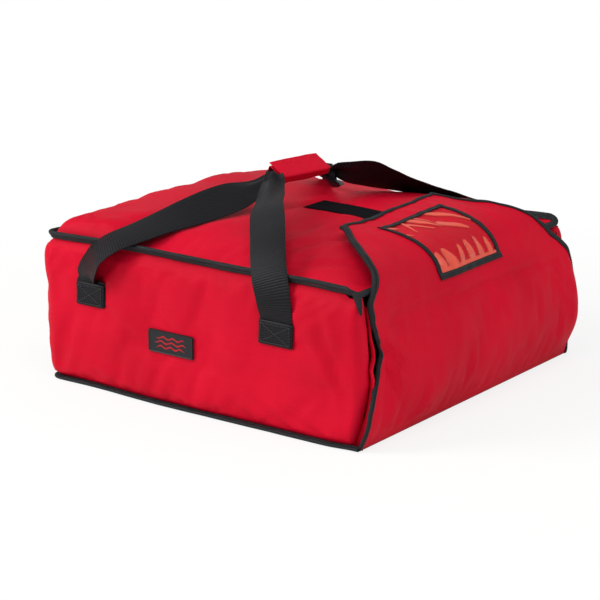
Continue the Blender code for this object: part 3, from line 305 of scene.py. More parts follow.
def billow(piece, sewn, most_out, most_in, slack):
    """Cloth simulation of a sewn panel over its foam: the points where sewn(x, y, z) is true are
    pinned, the cloth is cut larger by slack and pressed outwards for 20 frames without gravity,
    and each point then moves by its share along its normal, kept between -most_in and most_out."""
    mesh = piece.data
    rest, normal = values_of(mesh.vertices, "co"), values_of(mesh.vertices, "normal")
    trial = add_object(piece.name + "_trial", mesh.copy())
    pins = trial.vertex_groups.new(name="sewn")
    pins.add(np.flatnonzero(sewn(*rest.T)).tolist(), 1.0, "REPLACE")
    cloth = trial.modifiers.new("cloth", "CLOTH")
    cloth.settings.vertex_group_mass = "sewn"
    cloth.settings.mass, cloth.settings.quality = 0.15, 6
    cloth.settings.tension_stiffness = cloth.settings.compression_stiffness = 25
    cloth.settings.shear_stiffness, cloth.settings.bending_stiffness = 12, 0.25
    cloth.settings.shrink_min = -slack
    cloth.settings.use_pressure, cloth.settings.uniform_pressure_force = True, 4.0
    cloth.settings.effector_weights.gravity = 0.0
    cloth.collision_settings.use_collision = False
    for step in range(1, 21):
        scene.frame_set(step)
    done = trial.evaluated_get(bpy.context.evaluated_depsgraph_get())
    along = ((values_of(done.data.vertices, "co") - rest) * normal).sum(1)
    kept = np.where(along > 0, most_out * np.tanh(along / most_out), most_in * np.tanh(along / most_in))
    mesh.vertices.foreach_set("co", (rest + normal * kept[:, None]).ravel())
    mesh.update()
    scene.frame_set(1)
    bpy.data.objects.remove(trial)
    print(piece.name, "billowed by", (kept.min() * 1000).round(2), "to", (kept.max() * 1000).round(2), "mm")


def seat(piece, body, replaces=()):
    """Let a piece ride on its body, or bake its place in where it lies between two, and hide the nodes it
    stands for.
    """
    if isinstance(body, str):
        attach(piece, body)
    else:
        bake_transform(piece)
    if replaces:
        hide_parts(*replaces)
    return piece


def sheet(name, points, replaces=(), body="shell", uv=None, press=None, inside=(0, 0, 0.1),
          thickness=0.001):
    """Red nylon on a grid, simulated if press says how, then made thick by Solidify."""
    piece = make_mesh(name, points, grid_quads(*points.shape[:2]),
                      spread(points) if uv is None else uv, coated_nylon)
    turn_outwards(piece, inside)
    if press:
        billow(piece, *press)
    wall = piece.modifiers.new("cloth", "SOLIDIFY")
    wall.thickness, wall.offset = thickness, -1.0
    return seat(piece, body, replaces)


def slab(name, upper, lower, finish, replaces=(), body="shell", uv=None, ring=False):
    """Closed body between two grids of one shape, with a rim of quads round their border. A ring
    has its first row of points again as its last, and needs a rim along its two sides only."""
    rows, columns = upper.shape[:2]
    count = rows * columns
    index = np.arange(count).reshape(rows, columns)
    if ring:
        loop = np.concatenate([index[:-1, -1], index[:0:-1, 0]])
        after = np.concatenate([index[1:, -1], index[-2::-1, 0]])
    else:
        loop = np.concatenate([index[0, :-1], index[:-1, -1], index[-1, :0:-1], index[:0:-1, 0]])
        after = np.roll(loop, -1)
    quads = grid_quads(rows, columns)
    rim = np.stack([loop, after, after + count, loop + count], -1)
    uv = spread(upper) if uv is None else uv
    piece = make_mesh(name, np.stack([upper, lower]), np.concatenate([quads, quads[:, ::-1] + count, rim]),
                      np.stack([uv, uv]), finish)
    rework(piece.data, lambda work: bmesh.ops.recalc_face_normals(work, faces=work.faces))
    piece.data.set_sharp_from_angle(angle=math.radians(50))
    return seat(piece, body, replaces)


print("mesh helpers ready")

# %% [markdown]
# ## Finishes
# The bag is red polyurethane-coated nylon in a plain weave. Its yarns are 0.4 mm apart, too
# fine to show, so the weave is drawn at 1.6 mm. The coating gives a soft look and no gloss.
# The edges are bound with charcoal polyester grosgrain, ribbed across. The handles are black
# polypropylene webbing with ribs 3.3 mm apart. The window is clear vinyl film, the strips are
# brushed loop and moulded hook, and the lining is thin black coated cloth.

# %% Woven finishes
def cloth_waves(tree, across_mm, along_mm, turned=0.0):
    """Two sine waves over the cloth's UV, with their lengths in millimetres, as sockets."""
    place = add_node(tree, "ShaderNodeUVMap", uv_map="cloth")
    turn = add_node(tree, "ShaderNodeMapping", {"Vector": place.outputs[0],
                                                "Rotation": (0.0, 0.0, turned)})
    parts = add_node(tree, "ShaderNodeSeparateXYZ", {0: turn.outputs[0]})
    waves = []
    for socket, size in ((0, across_mm), (1, along_mm)):
        phase = add_node(tree, "ShaderNodeMath", {0: parts.outputs[socket], 1: 2000 * math.pi / size},
                         operation="MULTIPLY")
        waves.append(add_node(tree, "ShaderNodeMath", {0: phase.outputs[0]}, operation="SINE").outputs[0])
    return turn.outputs[0], waves


def close_finish(material, share, colours, height, strength, relief_mm, shine):
    """End of each cloth finish: a share mixes two colours, a height gives the relief, and shine
    says how rough it is, how much it reflects, and its sheen's weight and tint."""
    tree = material.node_tree
    tint = add_node(tree, "ShaderNodeMix", {0: share, 6: colour_of(colours[0]), 7: colour_of(colours[1])},
                    data_type="RGBA")
    bump = add_node(tree, "ShaderNodeBump", {"Height": height, "Strength": strength,
                                             "Distance": relief_mm / 1000})
    roughness, specular, sheen, sheen_tint = shine
    shader = add_node(tree, "ShaderNodeBsdfPrincipled", {
        "Base Color": tint.outputs[2], "Roughness": roughness, "Specular IOR Level": specular,
        "Sheen Weight": sheen, "Sheen Roughness": 0.45, "Sheen Tint": colour_of(sheen_tint),
        "Normal": bump.outputs[0]})
    add_node(tree, "ShaderNodeOutputMaterial", {"Surface": shader.outputs[0]})
    return material


def woven(name, colours, across_mm, along_mm, relief_mm, shine, cloudy=0.35, turned=0.0):
    """Plain woven cloth: over and under is the product of two sine waves; colour drifts slowly
    between two shades, and long slubs change it a little more."""
    material, tree = new_finish(name)
    place, waves = cloth_waves(tree, across_mm, along_mm, turned)
    weave = add_node(tree, "ShaderNodeMath", {0: waves[0], 1: waves[1]}, operation="MULTIPLY")
    drift = add_node(tree, "ShaderNodeTexNoise", {"Vector": place, "Scale": 7.0, "Detail": 3.0})
    slub_place = add_node(tree, "ShaderNodeMapping", {"Vector": place, "Scale": (26.0, 520.0, 1.0)})
    slub = add_node(tree, "ShaderNodeTexNoise", {"Vector": slub_place.outputs[0], "Scale": 1.0,
                                                 "Detail": 2.0})
    shade = add_node(tree, "ShaderNodeMath", {0: slub.outputs["Fac"], 1: 0.3, 2: drift.outputs["Fac"]},
                     operation="MULTIPLY_ADD")
    shade = add_node(tree, "ShaderNodeMapRange", {0: shade.outputs[0], 1: 0.48, 2: 0.82, 3: 0.0,
                                                  4: cloudy})
    shade = add_node(tree, "ShaderNodeMath", {0: weave.outputs[0], 1: 0.10, 2: shade.outputs[0]},
                     operation="MULTIPLY_ADD", use_clamp=True)
    height = add_node(tree, "ShaderNodeMath", {0: slub.outputs["Fac"], 1: 0.4, 2: weave.outputs[0]},
                      operation="MULTIPLY_ADD")
    return close_finish(material, shade.outputs[0], colours, height.outputs[0], 0.6, relief_mm, shine)


# Coated nylon: a plain weave under a thin matt coating, saturated red.
coated_nylon = woven("coated_nylon_plain_weave", ("#D00B2B", "#A8061E"), 1.6, 1.6, 0.13,
                     (0.50, 0.06, 0.0, "#FFFFFF"), cloudy=0.46)
# Grosgrain: crosswise ribs about 1 mm apart, drawn at 1.8 mm; dull, with a grey bloom.
grosgrain = woven("polyester_grosgrain_tape", ("#1B1F22", "#0C0E10"), 30.0, 1.8, 0.25,
                  (0.55, 0.20, 0.02, "#AEB6BA"), cloudy=0.5)
# Lining: thin calendered polyester, smoother and a little shiny.
lining = woven("calendered_lining", ("#151618", "#0D0E0F"), 2.0, 2.0, 0.05,
               (0.42, 0.25, 0.02, "#808080"))
# Thread: bonded polyester, three plies, twist drawn as slanted ribs.
dark_thread = woven("bonded_polyester_thread", ("#3A3E41", "#1C1F21"), 1.2, 1.2, 0.08,
                    (0.5, 0.3, 0.05, "#C8CCD0"), turned=0.6)
# Foam: open-cell polyurethane seen only where it is cut; its dark grey is painted shade, so that its cut ends
# at the grip look like the shaded gap there.
foam = woven("polyurethane_foam", ("#2B2B2D", "#1E1E20"), 3.0, 3.0, 0.3,
             (0.9, 0.1, 0.0, "#FFFFFF"))
print("five woven finishes")

# %% [markdown]
# Webbing needs its own pattern. Polypropylene webbing for handles is woven so that short
# floats stand in rows across the strap. A rib is a sine of the length, and the floats
# break it into dashes by a second wave across, shifted by half a dash from row to row. The
# same relief picks the colour: the crests get a painted highlight and the grooves painted
# shade.

# %% Webbing, hook, loop, film and rubber
def webbing_finish(name, rib_mm, dash_mm):
    """Ribs across the strap, broken into dashes that shift from row to row; the crests get a painted highlight
    and the grooves painted shade.
    """
    material, tree = new_finish(name)
    place, waves = cloth_waves(tree, rib_mm, dash_mm)
    rib = add_node(tree, "ShaderNodeMath", {0: waves[0], 1: 0.5, 2: 0.5}, operation="MULTIPLY_ADD")
    _, half_waves = cloth_waves(tree, 2 * rib_mm, dash_mm)
    dash = add_node(tree, "ShaderNodeMath", {0: half_waves[0], 1: half_waves[1]}, operation="MULTIPLY")
    dash = add_node(tree, "ShaderNodeMapRange", {0: dash.outputs[0], 1: -0.6, 2: 0.6, 3: 0.35, 4: 1.0})
    height = add_node(tree, "ShaderNodeMath", {0: rib.outputs[0], 1: dash.outputs[0]},
                      operation="MULTIPLY")
    fuzz = add_node(tree, "ShaderNodeTexNoise", {"Vector": place, "Scale": 420.0, "Detail": 2.0})
    height = add_node(tree, "ShaderNodeMath", {0: fuzz.outputs["Fac"], 1: 0.35, 2: height.outputs[0]},
                      operation="MULTIPLY_ADD").outputs[0]
    # Painted highlight and shade: the relief also mixes the colour, lighter on the crests and darker in the
    # grooves.
    return close_finish(material, height, ("#050507", "#202024"), height, 0.8, 0.5,
                        (0.40, 0.13, 0.0, "#FFFFFF"))


def noisy_finish(name, colours, size_mm, relief_mm, roughness, specular):
    """A matt finish with grain from noise on the cloth's UV: brushed loops, hooks or rubber."""
    material, tree = new_finish(name)
    place = add_node(tree, "ShaderNodeUVMap", uv_map="cloth")
    grain = add_node(tree, "ShaderNodeTexNoise", {"Vector": place.outputs[0], "Scale": 1000.0 / size_mm,
                                                  "Detail": 3.0}).outputs["Fac"]
    return close_finish(material, grain, colours, grain, 0.7, relief_mm,
                        (roughness, specular, 0.0, "#FFFFFF"))


def vinyl_film(name):
    """Clear vinyl: a glossy thin film, with a painted salmon-pink highlight over the red where
    its attribute marks a crease that catches the light."""
    material, tree = new_finish(name)
    painted_highlight = add_node(tree, "ShaderNodeAttribute", attribute_name="painted_highlight")
    alpha = add_node(tree, "ShaderNodeMapRange", {0: painted_highlight.outputs["Fac"], 3: 0.03, 4: 0.80})
    # The salmon base colour is a painted highlight, shown only where the attribute is high.
    shader = add_node(tree, "ShaderNodeBsdfPrincipled", {
        "Base Color": colour_of("#F4604C"), "Roughness": 0.16, "Alpha": alpha.outputs[0],
        "Specular IOR Level": 0.35, "Coat Weight": 0.1})
    add_node(tree, "ShaderNodeOutputMaterial", {"Surface": shader.outputs[0]})
    return material


# Webbing: black yarn in bold ribs. Loop pile: brushed and dull. Hooks and rubber: moulded.
webbing = webbing_finish("polypropylene_webbing", 3.3, 2.6)
loop_pile = noisy_finish("brushed_loop_pile", ("#070609", "#131016"), 1.6, 0.6, 0.95, 0.08)
hook_field = noisy_finish("moulded_nylon_hooks", ("#0C0C0E", "#1C1C20"), 1.2, 0.6, 0.6, 0.2)
plate_rubber = noisy_finish("moulded_rubber_plate", ("#15181B", "#1F2326"), 0.9, 0.08, 0.50, 0.25)
red_rubber = noisy_finish("moulded_red_rubber", ("#B81226", "#9C0C1E"), 0.9, 0.08, 0.5, 0.2)
film = vinyl_film("clear_vinyl_film")
print("webbing, loop, hook, rubber and film finishes")

# %% [markdown]
# ## The box
# Three pieces of nylon make the box: the top, the bottom and one band that makes the front
# wall, the closed end and the back wall. They meet in seams whose allowances stand out
# together and are wrapped in tape. The top is crowned by its foam and puffed along its rim. A
# soft bag also settles: `settle` lowers the back edge and the back mouth corner, and adds a
# slow unevenness to every piece that hangs on the box.

# %% Seam lines and heights of the box
seam_x, seam_y, mouth_x = 0.23919, 0.24169, 0.23719
top_z, base_z = 0.19469, 0.0025
end_radius, mouth_radius = 0.008, 0.006
mouth_bow, mouth_sag = 0.012, 0.006
allowance, half_cloth, tape_cloth = 0.0065, 0.00115, 0.0009


def settle(points):
    """Where the soft bag's points really lie: the back top edge sags, by 20 mm away from the
    mouth and 5 mm at it, its mouth corner moves in by 4 mm, the corners of the closed end are
    pushed out by the foam, by 11 mm at the top and 2 mm at the floor, the floor seam of the
    front bows out by 10 mm and ends 4 mm short of the mouth, and slow waves of about 1 mm run
    over all but the floor."""
    x, y, z = points[..., 0], points[..., 1], points[..., 2]
    back, loose = ease(y, 0.06, 0.25) * ease(z, 0.08, 0.20), ease(z, 0.004, 0.05)
    more = ease(y, 0.03, 0.24) * ease(z, 0.08, 0.20) * (1 - 0.9 * ease(x, 0.0, 0.16))
    ear = ease(-x, 0.16, 0.24) * ease(np.abs(y), 0.17, 0.24)
    front = ease(-y, 0.16, 0.24)
    bow = ease(x, -0.235, -0.04) * (1 - 0.45 * ease(x, 0.21, 0.255)) * (1 - ease(z, 0.002, 0.07))
    short = ease(x, 0.225, 0.2557) * (1 - ease(z, 0.01, 0.09))
    moved = points.copy()
    moved[..., 2] -= 0.0085 * back * (1 - 0.45 * ease(x, 0.15, 0.24)) + 0.011 * more
    moved[..., 1] += 0.0035 * np.sign(y) * ear - 0.004 * back * ease(x, 0.05, 0.25) - 0.0098 * front * bow
    moved[..., 0] -= (0.0020 + 0.0085 * ease(z, 0.02, 0.19)) * ear + 0.0040 * front * short
    waves = (0.0008 * ripple(y, z, 0.13, 5), 0.0008 * ripple(x, z, 0.13, 4), 0.0011 * ripple(x, y, 0.16, 3))
    return moved + np.stack(waves, -1) * loose[..., None]


def mouth_edge(y, bow=mouth_bow):
    """x of the mouth's seam: it bows inwards between its corners as a half cosine."""
    return mouth_x - bow * np.cos(np.pi / 2 * np.clip(np.abs(y) / seam_y, 0, 1))


def seam_height(x, y):
    """Height of the top seam: level round the walls, sagging along the mouth."""
    a = np.clip(x / mouth_edge(y), 0, 1)
    return top_z - mouth_sag * a ** 4 * np.cos(np.pi / 2 * np.clip(np.abs(y) / seam_y, 0, 1))


def top_height(x, y):
    """Height of the top: puff (1-a^7)(1-b^7) at the rim and crown (1-a^3)(1-b^3) over it. The foam
    fills the closed end and the back more squarely, so the powers grow towards them, and the
    front corner of the closed end lies 2.5 mm lower."""
    a = np.clip(np.abs(x) / np.where(x > 0, mouth_edge(y), seam_x), 0, 1)
    b = np.clip(np.abs(y) / seam_y, 0, 1)
    full, corner, rear = ease(-x, 0.0, 0.13), ease(-x, 0.12, 0.205), ease(y, 0.0, 0.08)
    puff = 0.0145 * (1 - a ** (7 + 10 * full + 30 * corner)) * (1 - b ** (7 + 36 * corner + 11 * rear))
    crown = 0.018 * (1 - a ** (3 + 9 * full + 18 * corner)) * (1 - b ** (3 + 30 * corner + 9 * rear))
    dip = 0.0025 * corner * ease(-y, 0.12, 0.19) * (1 - a ** 30) * (1 - b ** 30)
    return seam_height(x, y) + puff + crown - dip


def seam_ways(facing, tilt):
    """Ways along and across an allowance that rises by tilt from level, from the outward ways
    of its seam in plan."""
    flat = np.concatenate([facing, 0 * facing[..., :1]], -1)
    tilt = np.broadcast_to(tilt, facing.shape[:-1])[..., None]
    return flat * np.cos(tilt) + up3 * np.sin(tilt), up3 * np.cos(tilt) - flat * np.sin(tilt)


def panel_grid(bow, tilt_of_walls, height, rim, rows=78, columns=84):
    """Scan lines across a panel: each row keeps one y, and runs from the closed end's seam to the
    mouth's. Extra rows and columns carry the seam allowance out by rim, in steps, square to the
    seam and tilted up from level by tilt_of_walls, or by 0 along the mouth."""
    s, u = np.linspace(-1, 1, rows), np.linspace(-1, 1, columns)
    y = seam_y * (0.35 * s + 0.65 * np.sin(np.pi / 2 * s))
    u = 0.5 * u + 0.5 * np.sin(np.pi / 2 * u)
    steps = len(rim)
    out = np.maximum(*lay(np.r_[rim[::-1], np.zeros(rows), rim], np.r_[rim[::-1], np.zeros(columns), rim]))
    y, u = lay(np.r_[[y[0]] * steps, y, [y[-1]] * steps], np.r_[[-1.0] * steps, u, [1.0] * steps])
    left_t = np.clip((np.abs(y) - (seam_y - end_radius)) / end_radius, 0, 1)
    right_t = np.clip((np.abs(y) - (seam_y - mouth_radius)) / mouth_radius, 0, 1)
    left = -seam_x + end_radius * (1 - np.sqrt(1 - left_t ** 2))
    right = mouth_edge(y, bow) - mouth_radius * (1 - np.sqrt(1 - right_t ** 2))
    x = left + (right - left) * (u + 1) / 2
    t = np.where(u < 0, left_t, right_t)
    on_side = np.abs(u) > 1 - 1e-9
    normal = np.stack([np.where(on_side, np.sign(u) * np.sqrt(1 - t ** 2), 0.0),
                       np.where(on_side, np.sign(y) * t, np.sign(y))], -1)
    edge = on_side | (np.abs(y) > seam_y - 1e-9)
    at_mouth = np.where(on_side & (u > 0), 1 - np.arcsin(t) / (np.pi / 2), 0.0)
    along, across = seam_ways(normal, tilt_of_walls * (1 - at_mouth))
    return np.stack([x, y, height(x, y)], -1), edge[..., None], along, across, out[..., None]


rim_steps = np.array([0.003, allowance])
grid, edge, along, across, out = panel_grid(mouth_bow, math.radians(45), top_height, rim_steps)
x, y = grid[..., 0], grid[..., 1]
from_x, from_y = seam_x - np.abs(x), seam_y - np.abs(y)
to_edge = np.clip(np.minimum(from_x, from_y), 0, 1)
gathers = 0.0011 * ripple(x * 3, y * 3, 0.11, 8) * np.exp(-to_edge / 0.03) + 0.0013 * ripple(x, y, 0.09, 9)
gathers -= creases(x, y, [
    ((0.09, -0.20), (0.16, -0.05), 0.009, 0.0022), ((0.12, -0.225), (0.20, -0.16), 0.007, 0.0016),
    ((0.115, -0.176), (0.101, -0.064), 0.010, 0.0026), ((0.129, -0.202), (0.130, -0.121), 0.008, 0.0022),
    ((0.075, -0.129), (0.058, -0.026), 0.012, 0.0020), ((-0.19, -0.21), (-0.05, -0.17), 0.012, 0.0016)])
gathers += 0.0010 * waver(np.where(from_x < from_y, y, x), 0.022, 10) * np.exp(-to_edge / 0.013)
top_points = grid + edge * (across * half_cloth + along * out)
top_points[..., 2] += gathers * ~edge[..., 0]
print("top grid", top_points.shape[:2])

# %% [markdown]
# The top panel lies on its foam, which is one slab with the lining under it. The foam ends
# inside the seams, so that the fabric alone is sewn there.

# %% Top panel, its padding and lining
def top_sewn(x, y, z):
    """Where the top is held: along its seams, under the loop strip and under the flap."""
    return ((np.abs(x) > seam_x - 0.007) | (np.abs(y) > seam_y - 0.007) | (x > 0.135)
            | ((np.abs(y) < 0.027) & (x > -0.005)))


top_panel = sheet("top_panel", settle(top_points), ["top_outer_panel"], uv=grid[..., :2],
                  press=(top_sewn, 0.0018, 0.0016, 0.012))
keep = (slice(2, -2), slice(2, -2))
inner = (grid * [0.985, 0.985, 1.0])[keep]
inner[..., 2] = top_height(inner[..., 0], inner[..., 1])
top_padding = slab("top_padding", settle(inner - 0.0045 * up3), settle(inner - 0.0124 * up3), lining,
                   ["top_insulation", "top_liner"], uv=inner[..., :2])
print("top panel and padding")

# %% [markdown]
# The side band is a long strip that runs round three walls. Its path is the seam line in
# plan, and its section rises from the floor seam, stands out in a flat bulge, curls in at the
# top seam and turns out again as an allowance. Sharp seams with soft walls between them are
# what makes it read as sewn cloth rather than as a box.

# %% Side band
def band_path(step=0.0062):
    """Places and outward ways in plan along the three walls, from inside the back mouth edge to
    inside the front one: lip, straight, quarter arc, straight, quarter arc, straight, lip."""
    end_x, end_y = -seam_x + end_radius, seam_y - end_radius
    side = np.linspace(0.2460, end_x, int((0.246 - end_x) / step) + 1)
    arc = np.radians(np.linspace(90, 180, 9))[1:]
    wall = np.linspace(end_y, -end_y, int(2 * end_y / step) + 1)[1:]
    arc_way = np.stack([np.cos(arc), np.sin(arc)], -1)
    lip_turn = np.radians(np.linspace(0, 90, 8))[:-1]
    lip_way = np.stack([np.cos(lip_turn), np.sin(lip_turn)], -1)
    inward = np.linspace(0.0125, 0.002, 5)[:, None] * [0.0, -1.0] + [0.248, seam_y]
    inward[:, 0] -= [0.008, 0.004, 0.0016, 0.0004, 0.0]
    back = np.concatenate([inward[:-1], [0.246, seam_y - 0.002] + 0.002 * lip_way,
                           np.stack([side, np.full_like(side, seam_y)], -1)])
    back_way = np.concatenate([np.tile([1.0, 0.0], (4, 1)), lip_way, np.tile([0.0, 1.0], (len(side), 1))])
    front_way = arc_way[::-1][1:] * [1, -1]
    places = [back, [end_x, end_y] + end_radius * arc_way, np.stack([np.full_like(wall, -seam_x), wall], -1),
              [end_x, -end_y] + end_radius * front_way, back[::-1] * [1, -1]]
    ways = [back_way, arc_way, np.tile([-1.0, 0.0], (len(wall), 1)), front_way, back_way[::-1] * [1, -1]]
    return np.concatenate(places), np.concatenate(ways)


def wall_bulge(q, ways):
    """How far a wall stands out at share q of its height: most * (1 - |2q-1|^10). At the lips
    of the mouth, whose way is towards +x, it stands out in the middle only."""
    to_x = ways[:, :1]
    most = 0.0165 * to_x ** 2 + 0.0125 * ways[:, 1:] ** 2
    lip = 0.0125 * (1 - to_x) + (0.002 + 0.0095 * np.sin(np.pi * (1 - (1 - q) ** 1.6)) ** 0.8) * to_x
    return np.where(to_x > 0, lip, most) * (1 - np.abs(2 * q - 1) ** 10)


# Patches and plate on the walls: x, z, calm half width, held half width and held half height
sewn_spots = ((-0.1735, 0.130, 0.034, 0.028, 0.020), (0.1314, 0.130, 0.036, 0.030, 0.020),
              (-0.0390, 0.0855, 0.048, 0.041, 0.019))
places, ways = band_path()
length = run_along(places)[:, None]
near_mouth = ease(places[:, :1], 0.222, 0.232)
q = 0.5 - 0.5 * np.cos(np.pi * np.linspace(0.05, 0.95, 40))[None, :]
high = top_z - 0.004 * near_mouth
row_z = base_z + q * (high - base_z)
uneven = (0.0024 * ripple(length, row_z, 0.085, 11) + 0.0028 * ripple(length, row_z, 0.19, 15)
          + 0.0009 * ripple(length, row_z, 0.035, 12))
for spot_x, spot_z, near_x, _, _ in sewn_spots:
    off = ((places[:, :1] - spot_x) / near_x) ** 4 + ((row_z - spot_z) / 0.026) ** 4
    uneven *= 1 - np.exp(-off) * (ways[:, :1] < 0.5)
uneven -= creases(np.where(ways[:, 1:] < -0.5, places[:, :1], 9.0), row_z, [
    ((0.075, 0.045), (0.15, 0.012), 0.006, 0.0020), ((0.14, 0.034), (0.205, 0.008), 0.006, 0.0018),
    ((0.19, 0.175), (0.235, 0.06), 0.008, 0.0030), ((0.167, 0.148), (0.220, 0.188), 0.006, 0.0026),
    ((0.168, 0.164), (0.205, 0.192), 0.005, 0.0020), ((-0.21, 0.03), (-0.13, 0.012), 0.008, 0.0012)])
uneven += 0.0010 * waver(length, 0.020, 13) * np.exp(-(top_z - row_z) / 0.014)
uneven += 0.0007 * waver(length, 0.026, 14) * np.exp(-(row_z - base_z) / 0.010)
face = wall_bulge(q, ways) + uneven * np.sin(np.pi * q) ** 0.5


def wall_points(depth):
    """Points of the walls at a depth inside the face."""
    flat = places[:, None, :] + ways[:, None, :] * (face - depth)[..., None]
    return np.concatenate([flat, row_z[..., None]], -1)


def band_sewn(x, y, z):
    """Where the walls are held: at both seams, the mouth, the four patches and the plate."""
    held = (z > top_z - 0.010 - 0.020 * (y > 0.05)) | (z < 0.010) | (x > 0.225)
    for spot_x, spot_z, _, near_x, near_z in sewn_spots:
        held |= (np.abs(x - spot_x) < near_x) & (np.abs(z - spot_z) < near_z)
    return held


ways3, _ = seam_ways(ways, 0.0)
seam_along, seam_across = seam_ways(ways, np.radians(62 + 25 * near_mouth[:, 0]))
reach = allowance * (1 - near_mouth)
top_seam = np.concatenate([places, high], 1) - seam_across * half_cloth
low_seam = np.concatenate([places, 0 * high + base_z], 1) + up3 * half_cloth
band_points = np.concatenate([(low_seam + ways3 * reach)[:, None], low_seam[:, None], wall_points(0.0),
                              top_seam[:, None], (top_seam + seam_along * reach)[:, None]], 1)
side_band = sheet("side_band", settle(band_points), ["side_band_outer"],
                  press=(band_sewn, 0.0030, 0.0020, 0.03))
chosen = np.flatnonzero(places[:, 0] < 0.2425)
side_padding = slab("side_padding", settle(wall_points(0.0035)[chosen, 4:-4]),
                    settle(wall_points(0.0122)[chosen, 4:-4]), lining,
                    ["side_band_liner", "front_insulation", "back_insulation", "end_insulation"])
print("band", band_points.shape[:2])

# %% [markdown]
# The bottom is one flat panel on the floor. Its fabric runs out past the mouth to the line
# where the flap begins, and its foam and lining lie on it.

# %% Bottom panel and padding
def floor_height(x, y):
    """The bottom lies flat just above the floor."""
    return np.full_like(x, 0.0011)


grid, edge, along, _, out = panel_grid(0.0, 0.0, floor_height, rim_steps, 44, 46)
bottom_points = grid + edge * along * out
at_mouth = (grid[..., 0] > seam_x - 0.02) & (np.abs(grid[..., 1]) < seam_y - mouth_radius)
bottom_points[..., 2] += np.where(edge[..., 0] & ~at_mouth, base_z - half_cloth - 0.0003, 0.0)
bottom_panel = sheet("bottom_panel", settle(bottom_points), ["bottom_outer_panel"], uv=grid[..., :2],
                     thickness=tape_cloth)
upper = grid[keep] * [0.975, 0.975, 1.0]
lower = upper.copy()
lower[..., 2] = 0.0014
a, b = np.abs(upper[..., 0]) / seam_x, np.abs(upper[..., 1]) / seam_y
upper[..., 2] = 0.0075 + 0.0065 * (1 - a ** 10) * (1 - b ** 10)
bottom_padding = slab("bottom_padding", upper, lower, lining, ["bottom_insulation", "bottom_liner"],
                      uv=upper[..., :2])
print("bottom", bottom_points.shape[:2])

# %% [markdown]
# ## Bound seams
# The edges are finished with a folded tape, sewn over both allowances. Its section is a
# hairpin: two flat laps and a round nose. Carried along the seam line, this section gives the
# dark piping that draws the bag's outline. Real tape is never even, so its plumpness and its
# tilt drift by a few per cent along the way.

# %% Tape round the top and along the floor
def hairpin(lap, tip, half, skin=0.0, steps=9):
    """Section of a folded tape as (reach, side): a lap with the groove of its stitch row, a half
    circle at the tip and the other lap."""
    turn = np.linspace(np.pi / 2, -np.pi / 2, steps)
    nose = np.stack([tip - (half + skin) + half * np.cos(turn), half * np.sin(turn)], -1)
    reach = lap + (tip - half - lap) * np.array([0.0, 0.22, 0.38, 0.50, 0.62, 0.82])
    side = half * np.array([0.95, 1.08, 0.92, 0.72, 0.95, 1.10])
    return np.concatenate([np.stack([reach, side], -1), nose, np.stack([reach, -side], -1)[::-1]])


def carry(section, line, along, across, plump):
    """Section points carried along a line: reach goes along, side goes across, times plump."""
    reach, side = section[:, 0], section[:, 1]
    return (line[:, None, :] + along[:, None, :] * reach[None, :, None]
            + across[:, None, :] * (side[None, :] * plump[:, None])[..., None])


def seam_tape(name, line, along, across, replaces, seed, ring=False, tip=0.0122, half=0.0027):
    """Folded tape along a seam, with drifting plumpness."""
    lap, plump = 0.0022, 1 + 0.10 * waver(run_along(line), 0.05, seed)
    if ring:
        plump[-1] = plump[0]
    outer = carry(hairpin(lap, tip, half), line, along, across, plump)
    inner = carry(hairpin(lap, tip, half - tape_cloth, tape_cloth), line, along, across, plump)
    slab(name, settle(outer), settle(inner), grosgrain, replaces, ring=ring)


def ring_path(step=0.006):
    """Seam line round the whole top, with the outward way and the share of mouth: three walls,
    a small quarter arc, the bowed mouth edge and another arc, closed on its first point."""
    corner_x, corner_y = mouth_x - mouth_radius, seam_y - mouth_radius
    places, ways = band_path(step)
    wall = (places[:, 0] < corner_x) & (ways[:, 0] < 1e-6)
    places, ways = places[wall], ways[wall]
    arc = np.radians(np.linspace(-90, 0, 7))
    arc_way = np.stack([np.cos(arc), np.sin(arc)], -1)
    corner = [corner_x, -corner_y] + mouth_radius * arc_way
    y = np.linspace(-corner_y, corner_y, 80)[1:-1]
    ring = np.concatenate([places, corner, np.stack([mouth_edge(y), y], -1), corner[::-1] * [1, -1],
                           places[:1]])
    facing = np.concatenate([ways, arc_way, np.tile([1.0, 0.0], (len(y), 1)), arc_way[::-1] * [1, -1],
                             ways[:1]])
    share = np.r_[np.zeros(len(places)), np.linspace(0, 1, 7), np.ones(len(y)), np.linspace(1, 0, 7), 0]
    return ring, facing, share


ring, facing, share = ring_path()
ring_line = np.concatenate([ring, seam_height(ring[:, 0], ring[:, 1])[:, None]], 1)
ring_tilt = np.radians(62) * (1 - share) + np.radians(5) * ripple(ring[:, 0], ring[:, 1], 0.12, 21)
ring_tilt[-1] = ring_tilt[0]
ring_along, ring_across = seam_ways(facing, ring_tilt)
seam_tape("top_tape", ring_line, ring_along, ring_across, ["top_binding"], 22, ring=True)
low_ring, low_facing = band_path(0.006)
straight = low_facing[:, 0] < 1e-6
foot = [[0.2500, -seam_y], [0.2610, -seam_y]]
low_ring = np.concatenate([low_ring[straight], foot])
low_facing = np.concatenate([low_facing[straight], [[0.0, -1.0]] * 2])
low_line = np.concatenate([low_ring, np.full((len(low_ring), 1), base_z + 0.0003)], 1)
low_along, low_across = seam_ways(low_facing, 0.0)
seam_tape("bottom_tape", low_line, low_along, low_across, ["bottom_binding"], 23, tip=0.0118, half=0.0022)
print("tape", round(float(run_along(ring_line)[-1]), 3), "m round the top")

# %% [markdown]
# At the front corner of the mouth the tape's cut end hangs down as a small tapered tail, and
# the raw vertical edges of the mouth are hemmed with a strip of the red nylon.

